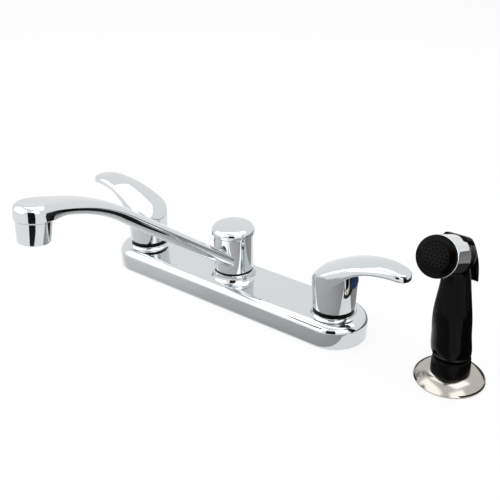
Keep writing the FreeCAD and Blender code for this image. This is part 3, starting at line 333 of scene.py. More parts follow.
def turned(line: Array, turn: Array | int = 128) -> Array:
    """Sweep (radius, height) pairs about Z: x = r cos t, y = r sin t, z = h.

    The solid is on the line's left as it is walked upwards on the outside. Each pair gives a row.
    The turn is a count of points on the whole circle, or angles in radians.
    """
    if isinstance(turn, int):
        turn = np.linspace(0, 2 * np.pi, turn, endpoint=False)
    radius, height = line[:, 0][:, None], line[:, 1][:, None]
    return np.stack([radius * np.cos(turn), radius * np.sin(turn), height + 0 * turn], axis=-1)


def smooth_through(knots: Array, values: Array, at: Array) -> Array:
    """A smooth curve through values at rising knots.

    It is made of cubic Hermite pieces with slopes from the neighbours.
    """
    slopes = np.gradient(values, knots)
    place = np.clip(np.searchsorted(knots, at) - 1, 0, len(knots) - 2)
    gap = knots[place + 1] - knots[place]
    t = np.clip((at - knots[place]) / gap, 0, 1)
    left = (2 * t**3 - 3 * t**2 + 1) * values[place] + (t**3 - 2 * t**2 + t) * gap * slopes[place]
    right = (-2 * t**3 + 3 * t**2) * values[place + 1] + (t**3 - t**2) * gap * slopes[place + 1]
    return left + right


def eased(share: Array) -> Array:
    """A share kept between 0 and 1 that starts and ends level."""
    share = np.clip(share, 0, 1)
    return share * share * (3 - 2 * share)


def shifted(grid: Array, x: float) -> Array:
    """The same points, moved along X."""
    return grid + np.array([x, 0.0, 0.0])


def tipped(grid: Array, degrees: float, y: float, z: float) -> Array:
    """Points made about Z, turned about X by the right-hand rule and moved to (0, y, z)."""
    c, s = math.cos(math.radians(degrees)), math.sin(math.radians(degrees))
    x, old_y, old_z = grid[..., 0], grid[..., 1], grid[..., 2]
    return np.stack([x, y + c * old_y - s * old_z, z + s * old_y + c * old_z], axis=-1)


def stadium_line(half_length: float, radius: float, count: int = 64) -> Array:
    """Points (x, y) round a stadium, anticlockwise.

    Half circles of the radius about (h, 0) and (-h, 0) are joined by two straight runs.
    """
    run = np.linspace(-half_length, half_length, 40)[1:-1]
    side = np.full(run.size, radius)
    pieces = [
        arc((half_length, 0.0), radius, -90, 90, count),
        np.stack([run[::-1], side], axis=1),
        arc((-half_length, 0.0), radius, 90, 270, count),
        np.stack([run, -side], axis=1),
    ]
    return np.concatenate(pieces)


# ---- the object --------------------------------------------------------------------------------
@dataclass
class Dresser:
    """Puts finishes on the pieces and ties them to the frame's bodies."""

    frame: dict
    made: dict[str, bpy.types.Material] = field(default_factory=dict)

    def finish(self, piece: bpy.types.Object, finish: Finish) -> None:
        """Give a piece one finish, made once and shared."""
        if finish.name not in self.made:
            self.made[finish.name] = finish.material()
        piece.data.materials.clear()
        piece.data.materials.append(self.made[finish.name])

    def place(
        self,
        piece: bpy.types.Object,
        body: str,
        slot: str,
        *nodes: str,
        finish: Optional[Finish] = None,
    ) -> None:
        """Finish a piece, ride it on its body and let it stand for its CAD nodes."""
        self.finish(piece, finish or FINISHES[slot])
        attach(piece, body)
        if nodes:
            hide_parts(*nodes)
        LOG.info("%s: %d faces on %s", piece.name, len(piece.data.polygons), body)

    def smooth_copy(self, node: str, name: str, sharp_degrees: float = 38.0) -> bpy.types.Object:
        """A joined, smooth shaded copy of a CAD node's mesh."""
        mesh = self.frame["nodes"][node].data.copy()
        mesh.name = name
        copy = bpy.data.objects.new(name, mesh)
        bpy.context.scene.collection.objects.link(copy)
        tidy_mesh(mesh, sharp_degrees)
        return copy


@dataclass
class DeckPlate:
    """The long rounded plate with its three collars."""

    length: float = 258.4
    width: float = 54.0
    height: float = 19.7
    edge_radius: float = 7.0
    wall: float = 2.4
    foot_round: float = 0.4
    overlap: float = 0.6
    past_end: float = 200.0
    ring_points: int = 240
    # Collars: radius at the foot and at the neck, height of the rim, radius of the bore.
    handle_collar: Quad = (20.6, 17.9, 22.2, 13.4)
    spout_collar: Quad = (20.8, 17.9, 26.4, 13.5)

    def shell(self) -> Array:
        """The plate's wall, from the inner edge of the top, over the rim and up inside.

        Each row is a stadium whose radius and height come from the plate's profile: a quarter
        circle joins the upright wall to the flat top.
        """
        half = self.length / 2 - self.width / 2
        radius, top, edge = self.width / 2, self.height, self.edge_radius
        inner_top, inner_edge = top - self.wall, edge - self.wall
        seam = radius - edge - self.overlap
        line = profile(
            (seam, top), arc((radius - edge, top - edge), edge, 90, 0, 22),
            (radius, self.foot_round), (radius - self.foot_round, 0.0),
            (radius - self.wall + 0.2, 0.0), (radius - self.wall, 0.2),
            arc((radius - edge, inner_top - inner_edge), inner_edge, 0, 90, 12), (seam, inner_top),
        )
        rings = [(stadium_line(half, r), z) for r, z in line]
        return np.stack([np.column_stack([ring, np.full(len(ring), z)]) for ring, z in rings])

    def top(self, centre_x: float, hole: float, low_x: float, high_x: float, z: float) -> Array:
        """A zone of a flat face round a collar's hole, as rings.

        A ray leaves the collar's axis in each direction. The grid runs along it from the hole's
        circle to the zone's outline, a stadium cut by two lines across at low_x and high_x.
        """
        radius = self.width / 2 - self.edge_radius - self.overlap
        half = self.length / 2 - self.width / 2
        turn = np.linspace(0, 2 * np.pi, self.ring_points, endpoint=False)
        c, s = np.cos(turn), np.sin(turn)
        with np.errstate(divide="ignore"):
            side = radius / np.abs(s)
        right = (high_x - centre_x) / np.maximum(c, TINY)
        left = (low_x - centre_x) / np.minimum(c, -TINY)
        reach = np.minimum(side, np.where(c > 0, right, left))
        for end in (-half, half):
            # Where the ray meets the half circle about (end, 0) beyond that end.
            b = c * (centre_x - end)
            root = np.sqrt(np.maximum(b**2 - (centre_x - end) ** 2 + radius**2, 0))
            beyond = (centre_x + reach * c) * np.sign(end) > half
            reach = np.where(beyond, np.minimum(reach, -b + root), reach)
        share = np.linspace(0, 1, 10)[:, None]
        distance = hole + (reach - hole) * share
        height = np.full(distance.shape, z)
        return np.stack([centre_x + distance * c, distance * s, height], axis=-1)

    def collar(self, sizes: Quad) -> Array:
        """A collar's turned surface: a hollow flare from the plate, a flat rim and the bore."""
        foot, neck, top, bore = sizes
        rise, run = top - self.height, foot - neck
        t = np.linspace(0, 1, 14)
        # The flare: flat on the plate at its foot, upright at its rim, as a quarter of an ellipse.
        height = self.height + (rise - 0.25) * (1 - np.cos(t * np.pi / 2))
        flare = np.stack([foot - run * np.sin(t * np.pi / 2), height], axis=1)
        under = self.height - self.wall
        line = profile(flare, (neck, top - 0.12), (neck - 0.18, top), (bore, top), (bore, under))
        return turned(line, self.ring_points)

    def build(self, dresser: Dresser) -> None:
        """Build the plate and put chrome on it."""
        surface = Surface("deck_plate_shell")
        surface.add(self.shell(), wrap=True, flip=True)
        middle = HANDLE_X / 2
        ends = (
            (-HANDLE_X, self.handle_collar, -self.past_end, -middle),
            (0.0, self.spout_collar, -middle, middle),
            (HANDLE_X, self.handle_collar, middle, self.past_end),
        )
        for x, sizes, low, high in ends:
            surface.add(self.top(x, sizes[0], low, high, self.height), wrap=True)
            surface.add(shifted(self.collar(sizes), x), wrap=True)
            under = self.top(x, sizes[3], low, high, self.height - self.wall)
            surface.add(under, wrap=True, flip=True)
        piece = surface.mesh_object(30.0)
        dresser.place(piece, "faucet", "chrome", "deck_plate")


@dataclass
class Spout:
    """The swivelling spout: hub, oval tube, round head, aerator and the cap above the hub."""

    hub_radius: float = 16.9
    hub_bore: float = 13.0
    hub_bottom: float = 27.5
    hub_top: float = 59.6
    rise: float = 37.1
    axis_height: float = 29.8
    straight_y: float = 122.5
    reach: float = 194.5
    bend_radius: float = 156.0
    hub_width: float = 22.2
    head_radius: float = 12.7
    thickness: float = 11.0
    tip_thickness: float = 10.4
    edge_round: float = 4.6
    under_round: float = 0.5
    oval_power: float = 2.5
    # Along the centreline: where the tube starts inside the hub, where it starts to widen and to
    # thin, over what length it thins, and how long before the end the head begins and is whole.
    tube_start: float = 12.6
    widen_from: float = 150.0
    thin_from: float = 135.0
    thin_over: float = 50.0
    head_length: float = 22.0
    head_over: float = 20.0
    cap_radius: float = 18.4
    cap_bottom: float = 60.0
    cap_top: float = 67.2
    cap_round: float = 4.5
    cap_recess: Pair = (11.3, 4.6)
    # Radius at the top and at the bottom, height of both, from the head's middle.
    aerator: Quad = (11.6, 10.6, -5.2, -20.2)
    aerator_bore: float = 8.6

    def length(self) -> float:
        """The centreline's length from the post's axis to the aerator's."""
        rise = math.radians(self.rise)
        last = math.asin(math.sin(rise) - (self.reach - self.straight_y) / self.bend_radius)
        return self.straight_y / math.cos(rise) + (rise - last) * self.bend_radius

    def centreline(self, distance: Array) -> tuple[Array, Array, Array]:
        """The y, z and slope in radians at each distance from the post's axis.

        The tube's middle line is a straight rise and then an arc that levels out.
        """
        rise = math.radians(self.rise)
        straight = self.straight_y / math.cos(rise)
        along = np.minimum(distance, straight)
        slope = rise - np.maximum(distance - straight, 0) / self.bend_radius
        y = -along * math.cos(rise) - self.bend_radius * (math.sin(rise) - np.sin(slope))
        level = self.bend_radius * (np.cos(slope) - math.cos(rise))
        z = self.axis_height + along * math.sin(rise) + level
        return y, z, slope

    def end(self) -> tuple[float, float, float]:
        """Where the centreline ends: y, z and slope in radians."""
        y, z, slope = self.centreline(np.array([self.length()]))
        return float(y[0]), float(z[0]), float(slope[0])

    def section(self, turn: Array, head: Array, half_width: Array, thickness: Array) -> Array:
        """The tube's outline as distances from its middle, by direction.

        The oval is a superellipse. The head is a box with rounded upper corners. Their
        distances are mixed, so the tube grows into the head without a crease.

        Directions are radians from +X, and the head is how far a section has become the head.
        The result is a grid of sections by directions.
        """
        c, s = np.cos(turn)[None, :], np.sin(turn)[None, :]
        a, b = half_width[:, None], thickness[:, None] / 2
        power = self.oval_power
        oval = (np.abs(c / a) ** power + np.abs(s / b) ** power) ** (-1 / power)
        box = np.minimum(a / np.maximum(np.abs(c), TINY), b / np.maximum(np.abs(s), TINY))
        for fillet, sign in ((self.edge_round, 1.0), (self.under_round, -1.0)):
            cx, cy = a - fillet, sign * (b - fillet)
            along = np.abs(c) * cx + s * cy
            inside = np.maximum(along**2 - (cx**2 + cy**2 - fillet**2), 0)
            hit = along + np.sqrt(inside)
            corner = (np.abs(c) * hit > cx) & (s * hit * sign > (b - fillet)) & (s * sign > 0)
            box = np.where(corner, hit, box)
        share = head[:, None]
        return oval * (1 - share) + box * share

    def tube(self) -> Array:
        """The tube and head: sections carried along the centreline, up to the aerator's axis."""
        total = self.length()
        widen = self.widen_from
        distance = np.concatenate(
            [np.linspace(self.tube_start, widen, 70), np.linspace(widen + 1.5, total, 60)]
        )
        y, z, slope = self.centreline(distance)
        grow = np.clip((distance - widen) / (total - widen), 0, 1)
        half_width = self.hub_width / 2 + (self.head_radius - self.hub_width / 2) * grow**2
        thin = eased((distance - self.thin_from) / self.thin_over)
        thickness = self.thickness + (self.tip_thickness - self.thickness) * thin
        lift = (self.thickness - thickness) / 2
        head = eased((distance - (total - self.head_length)) / self.head_over)
        even = np.linspace(0, 2 * np.pi, 160, endpoint=False)
        turn = np.arctan2(self.tip_thickness * np.sin(even), 2 * self.head_radius * np.cos(even))
        reach = self.section(turn, head, half_width, thickness)
        across, up = reach * np.cos(turn), reach * np.sin(turn) + lift[:, None]
        rise, run = np.cos(slope)[:, None], np.sin(slope)[:, None]
        return np.stack([across, y[:, None] + up * run, z[:, None] + up * rise], axis=-1)

    def head(self) -> Array:
        """The head's outer half: its outline turned half way round the aerator's axis."""
        half = self.thickness / 2
        under = half - self.tip_thickness
        radius, fillet, small = self.head_radius, self.edge_round, self.under_round
        line = profile(
            (0.0, under), (radius - small, under),
            arc((radius - small, under + small), small, -90, 0, 5)[1:],
            arc((radius - fillet, half - fillet), fillet, 0, 90, 14), (0.0, half),
        )
        grid = turned(subdivided(line, 2.0), np.radians(np.linspace(180, 360, 80)))
        y, z, slope = self.end()
        return tipped(grid, -math.degrees(slope), y, z)

    def build(self, dresser: Dresser) -> None:
        """Build the spout, the cap and the aerator's ring, and put chrome on them."""
        bottom, top, radius, bore = self.hub_bottom, self.hub_top, self.hub_radius, self.hub_bore
        hub = profile(
            (bore, bottom), (radius - 0.5, bottom), (radius, bottom + 0.5),
            (radius, top - 0.6), (radius - 0.6, top), (bore, top), (bore, bottom),
        )
        surface = Surface("spout_body")
        surface.add(turned(subdivided(hub, 4.0), 192), wrap=True)
        tube = self.tube()
        start = tube[:1].mean(axis=1, keepdims=True) + 0 * tube[:1]
        surface.add(np.concatenate([start, tube]), wrap=True)
        surface.add(self.head())
        piece = surface.mesh_object(34.0)
        dresser.place(piece, "spout_arm", "chrome", "spout")
        self.build_cap(dresser)
        self.build_aerator(dresser)

    def build_cap(self, dresser: Dresser) -> None:
        """Build the cap: an upright side, a rounded shoulder and a slightly crowned top."""
        low = self.cap_top - 0.6 - self.cap_round
        flat = self.cap_radius - self.cap_round
        inner, recess = self.cap_recess
        crown = np.linspace(flat, 0, 12)[1:]
        line = profile(
            (0.0, self.cap_bottom + recess), (inner, self.cap_bottom + recess),
            (inner, self.cap_bottom), (self.cap_radius - 0.3, self.cap_bottom),
            (self.cap_radius, self.cap_bottom + 0.3),
            arc((flat, low), self.cap_round, 0, 90, 20),
            np.stack([crown, self.cap_top - 0.6 * (crown / flat) ** 2], axis=1),
        )
        surface = Surface("spout_cap_dome").add(turned(subdivided(line, 3.0), 192), wrap=True)
        dresser.place(surface.mesh_object(30.0), "faucet", "chrome", "spout_cap")

    def build_aerator(self, dresser: Dresser) -> None:
        """Build the aerator's tapered ring."""
        wide, narrow, top, bottom = self.aerator
        bore, thread, thread_top = self.aerator_bore, self.head_radius - 3.05, top + 5.2
        line = profile(
            (bore, bottom), (narrow - 0.5, bottom), (narrow, bottom + 0.5),
            (wide, top - 0.4), (wide - 0.4, top), (thread, top),
            (thread, thread_top), (bore, thread_top), (bore, bottom),
        )
        y, z, slope = self.end()
        grid = tipped(turned(subdivided(line, 3.0), 160), -math.degrees(slope), y, z)
        surface = Surface("aerator_ring").add(grid, wrap=True)
        dresser.place(surface.mesh_object(34.0), "spout_arm", "chrome", "aerator_housing")


@dataclass
class LeverHandle:
    """A handle: a slightly tapered round hub that runs up into a leaf shaped lever."""

    side: int
    offset: float = HANDLE_X
    hub_bottom: float = 25.4
    hub_bottom_radius: float = 17.1
    hub_radius: float = 18.1
    taper_top: float = 46.0
    cavity_radius: float = 14.8
    cavity_top: float = 43.0
    tip_centre: float = 54.2
    tip_radius: float = 9.4
    top_round: float = 3.9
    under_round: float = 1.6
    dome_radius: float = 42.0
    top_line: Sequence[Pair] = (
        (-21.0, 42.3), (-18.1, 49.2), (-15.6, 52.9), (-10.5, 58.4), (-4.0, 62.4), (5.6, 67.2),
        (16.0, 71.4), (32.0, 75.4), (48.0, 76.6), (58.0, 74.9), (70.0, 70.8),
    )
    under_line: Sequence[Pair] = (
        (-30.0, 42.0), (2.0, 44.0), (5.0, 46.5), (8.9, 51.9), (13.5, 57.0), (20.0, 61.9),
        (28.0, 66.3), (38.0, 68.7), (50.0, 69.2), (70.0, 66.5),
    )

    def line_at(self, line: Sequence[Pair], x: Array) -> Array:
        """The height of the top or underside line at each x."""
        knots = np.array(line)
        return smooth_through(knots[:, 0], knots[:, 1], x)

    def under_at(self, place: Array) -> Array:
        """The underside's height at points in (x, y), never lower than the hub's taper."""
        return np.maximum(self.line_at(self.under_line, place[:, 0]), self.taper_top)

    def top_at(self, place: Array) -> Array:
        """The crown's height at points in (x, y): the top line, less a circle's drop sideways."""
        drop = self.dome_radius - np.sqrt(self.dome_radius**2 - place[:, 1] ** 2)
        return self.line_at(self.top_line, place[:, 0]) - drop

    def outline(self) -> tuple[Array, Array]:
        """The lever's plan: the hub's circle and the tip's arc, joined by their outer tangents.

        It gives points in (x, y), anticlockwise from the tip's lower tangent, and the outward
        direction at each of them.
        """
        lean = math.asin((self.hub_radius - self.tip_radius) / self.tip_centre)
        side = np.pi / 2 - lean
        tip = np.linspace(-side, side, 49)
        run = (1 - np.cos(np.linspace(0, np.pi, 44)))[1:-1] / 2
        back = np.linspace(side, 2 * np.pi - side, 97)
        reach, wide, narrow = self.tip_centre, self.hub_radius, self.tip_radius
        turn = np.concatenate([tip, np.full(run.size, side), back, np.full(run.size, -side)])
        radius = np.concatenate(
            [
                np.full(tip.size, narrow),
                narrow + (wide - narrow) * run,
                np.full(back.size, wide),
                wide + (narrow - wide) * run,
            ]
        )
        centre = np.concatenate(
            [np.full(tip.size, reach), reach * (1 - run), np.zeros(back.size), reach * run]
        )
        out = np.stack([np.cos(turn), np.sin(turn)], axis=1)
        return np.stack([centre, 0 * centre], axis=1) + radius[:, None] * out, out

    def rows(self) -> Array:
        """The whole outside as rows round the plan, from the crown's spine to the hub's foot.

        The crown follows the top line. Its edge is an arc that touches both the upright side and
        the sloping top. The side drops to the underside, which runs in to the hub's circle, and
        the hub goes on down to its foot.
        """
        edge, out = self.outline()
        along = np.clip(edge[:, 0] - out[:, 0] * self.hub_radius, 0, self.tip_centre)
        spine = np.stack([along, 0 * along], axis=1)
        start = self.top_at(edge)
        slope = self.top_at(edge - 0.5 * out) - self.top_at(edge + 0.5 * out)
        steep = np.sqrt(1 + slope**2)
        centre_z = start + slope * self.top_round - self.top_round * steep
        rows = []
        for t in np.linspace(1, 0, 13):
            turn = np.pi - t * (np.pi / 2 - np.arctan(slope))
            inset = self.top_round * (1 + np.cos(turn))
            place = edge - out * inset[:, None]
            line = start + slope * inset
            height = self.top_at(place) - line + centre_z + self.top_round * np.sin(turn)
            rows.append(np.column_stack([place, height]))
        ring = rows[0][:, :2]
        crown = []
        for share in 1 - np.linspace(0, 1, 15)[:-1] ** 0.8:
            place = ring + (spine - ring) * share
            crown.append(np.column_stack([place, self.top_at(place)]))
        rows = crown + rows
        wall_top = rows[-1][:, 2]
        direction = np.arctan2(edge[:, 1], edge[:, 0])
        foot = self.hub_radius * np.stack([np.cos(direction), np.sin(direction)], axis=1)
        gap = np.linalg.norm(edge - foot, axis=1)
        under = self.under_at(edge)
        small = np.minimum(self.under_round, gap * 0.35)
        for share in (0.33, 0.66):
            rows.append(np.column_stack([edge, wall_top + (under + small - wall_top) * share]))
        for turn in np.radians(np.linspace(0, 90, 7)):
            place = edge - out * (small * (1 - math.cos(turn)))[:, None]
            height = self.under_at(place) + small * (1 - math.sin(turn))
            rows.append(np.column_stack([place, height]))
        ring = rows[-1][:, :2]
        for share in np.linspace(0, 1, 25)[1:]:
            place = ring + (foot - ring) * share
            rows.append(np.column_stack([place, self.under_at(place)]))
        last, taper = rows[-1][:, 2], self.taper_top - self.hub_bottom
        # Down the hub: shares above one lie over the taper, the others on it.
        for share in np.concatenate([np.linspace(1, 0, 5)[1:] + 1, [0.75, 0.5, 0.25, 0.02]]):
            if share > 1:
                z = self.taper_top + (last - self.taper_top) * (share - 1)
            else:
                z = self.hub_bottom + taper * share + 0 * last
            fall = np.clip((self.taper_top - z) / taper, 0, 1)
            shrink = 1 - (self.hub_radius - self.hub_bottom_radius) * fall / self.hub_radius
            rows.append(np.column_stack([foot * shrink[:, None], z]))
        return np.stack(rows)

    def inside(self) -> Array:
        """The hub's rim, its hollow and the hollow's flat roof, on the same directions."""
        edge, _ = self.outline()
        direction = np.arctan2(edge[:, 1], edge[:, 0])
        circle = np.stack([np.cos(direction), np.sin(direction)], axis=1)
        low = self.hub_bottom
        start = self.hub_radius - (self.hub_radius - self.hub_bottom_radius) * 0.98
        line = (
            (start, low + 0.02 * (self.taper_top - low)),
            (self.hub_bottom_radius - 0.3, low),
            (self.cavity_radius, low),
            (self.cavity_radius, low + 7),
            (self.cavity_radius, self.cavity_top),
            (0.0, self.cavity_top),
        )
        return np.stack([np.column_stack([circle * r, np.full(len(edge), z)]) for r, z in line])

    def build(self, dresser: Dresser) -> None:
        """Build the handle and put chrome on it."""
        name = "cold" if self.side > 0 else "hot"
        mirror = np.array([self.side, 1.0, 1.0])
        surface = Surface(name + "_lever_handle")
        for grid in (self.rows(), self.inside()):
            placed = shifted(grid * mirror, self.side * self.offset)
            surface.add(placed, wrap=True, flip=self.side > 0)
        piece = surface.mesh_object(32.0)
        dresser.place(piece, name + "_lever", "chrome", name + "_handle")


@dataclass
class SprayerHolder:
    """The satin flange on the deck and the black guide that stands in it."""

    flange_radius: float = 26.3
    flange_hole: float = 13.9
    flange_top: float = 8.2
    flange_edge: float = 1.0
    dome_run: float = 10.9
    dome_rise: float = 7.2
    hollow_radius: float = 24.3
    hollow_run: float = 10.4
    hollow_top: float = 6.5
    dome_power: float = 1.75
    shank_radius: float = 13.6
    bottom: float = -42.0
    gap: float = 0.05
    collar_foot: float = 14.5
    top: float = 19.8
    bore: float = 10.4
    mouth: float = 12.2

    def build(self, dresser: Dresser) -> None:
        """Build the flange in satin nickel and the guide in black acetal."""
        run = np.linspace(0, 1, 26)
        swell = 1 - (1 - run) ** self.dome_power
        hole, radius, edge = self.flange_hole, self.flange_radius, self.flange_edge
        dome = np.stack([radius - self.dome_run * run, edge + self.dome_rise * swell], axis=1)
        inner = self.hollow_radius - self.hollow_run * run
        hollow = np.stack([inner, self.hollow_top * swell], axis=1)
        flange = profile(
            (hole, self.hollow_top), hollow[::-1], (radius, 0.0), dome, (hole, self.flange_top),
            (hole, self.hollow_top),
        )
        grid = shifted(turned(subdivided(flange, 3.0), 192), SPRAYER_X)
        piece = Surface("sprayer_deck_flange").add(grid, wrap=True).mesh_object(30.0)
        dresser.place(piece, "faucet", "satin_nickel", "sprayer_flange")
        t = np.linspace(0, 1, 10)
        foot = self.flange_top + self.gap
        rise = self.top - 1.0 - self.flange_top - self.gap
        collar = np.stack([self.collar_foot - 0.6 * t**2, foot + rise * t], axis=1)
        line = profile(
            (self.bore, self.bottom), (self.shank_radius - 1.0, self.bottom),
            (self.shank_radius, self.bottom + 1.0), (self.shank_radius, foot), collar,
            arc((13.0, self.top - 0.8), 0.8, 15, 90, 6), (self.mouth, self.top),
            (self.bore, 12.0), (self.bore, self.bottom),
        )
        grid = shifted(turned(subdivided(line, 4.0), 160), SPRAYER_X)
        piece = Surface("sprayer_guide_collar").add(grid, wrap=True).mesh_object(34.0)
        dresser.place(piece, "faucet", "black_matte", "sprayer_guide")


@dataclass
class Sprayer:
    """The hand sprayer: grip and barrel, chromed ring, black bezel and face, and trigger."""

    tilt: float = 21.0
    back: Pair = (-26.2, 113.3)
    ring_radius: float = 14.0
    ring_length: float = 22.8
    ring_bore: float = 11.05
    bezel_back: float = 16.2
    bezel_neck: float = 11.0
    face_bore: float = 9.45

    def along(self, line: Array, segments: int = 160) -> Array:
        """A turned surface placed on the nozzle's axis, from the ring's back."""
        grid = tipped(turned(subdivided(line, 3.0), segments), 90.0 - self.tilt, *self.back)
        return shifted(grid, SPRAYER_X)

    def build(self, dresser: Dresser) -> None:
        """Build the nozzle's rings and dress the grip, the face and the trigger."""
        inner, outer, front = self.ring_bore, self.ring_radius, self.ring_length
        ring = profile(
            (inner, 0.0), arc((outer - 0.6, 0.6), 0.6, -90, 0, 6),
            arc((outer - 0.6, front - 0.6), 0.6, 0, 90, 6), (inner, front), (inner, 0.0),
        )
        surface = Surface("nozzle_chrome_ring").add(self.along(ring, 192), wrap=True)
        piece = surface.mesh_object(40.0)
        dresser.place(piece, "sprayer", "chrome", "sprayer_nozzle_ring")
        hole, neck, back = self.face_bore, self.bezel_neck, self.bezel_back
        bezel = profile(
            (hole, back), (neck, back), (neck, front + 0.05), (13.7, front + 0.05),
            (13.9, front + 0.6), arc((12.5, front + 0.75), 1.4, 5, 78, 8), (neck, front + 2.6),
            (hole + 0.45, front + 3.0), (hole, front + 2.7), (hole, back),
        )
        surface = Surface("nozzle_black_bezel").add(self.along(bezel, 192), wrap=True)
        piece = surface.mesh_object(40.0)
        dresser.place(piece, "sprayer", "black_gloss", "sprayer_bezel")
        for node, name, body, slot in (
            ("sprayer_grip", "grip_and_barrel", "sprayer", "black_gloss"),
            ("sprayer_face", "spray_face", "sprayer", "black_matte"),
            ("sprayer_trigger", "hooded_trigger", "trigger", "black_gloss"),
            ("cold_index_button", "cold_button_face", "cold_lever", "blue"),
            ("hot_index_button", "hot_button_face", "hot_lever", "red"),
            ("handle_glide_rings", "glide_rings_under_handles", "faucet", "black_matte"),
            ("spout_glide_ring", "glide_ring_under_spout", "faucet", "black_matte"),
            ("aerator_insert", "aerator_screen", "spout_arm", "white_plastic"),
        ):
            # The spray face has the guide's slot, but it shines like the grip.
            finish = BLACK_ABS if node == "sprayer_face" else None
            dresser.place(dresser.smooth_copy(node, name), body, slot, node, finish=finish)


class HiddenParts:
    """The pieces that nothing new stands for: CAD nodes with their finishes."""

    def build(self, dresser: Dresser) -> None:
        """Put a finish on every CAD node, by its slot in the record."""
        parts = dresser.frame["record"]["subparts"]
        slots = {part["node"]: part["material_slot"] for part in parts}
        for node, piece in dresser.frame["nodes"].items():
            dresser.finish(piece, FINISHES[slots[node]])


def pose(right: Array, up: Array, back: Array, place: Triple) -> Matrix:
    """A camera's or lamp's matrix, from its own three axes and its place."""
    matrix = Matrix([list(row) for row in np.column_stack([right, up, back])]).to_4x4()
    matrix.translation = place
    return matrix


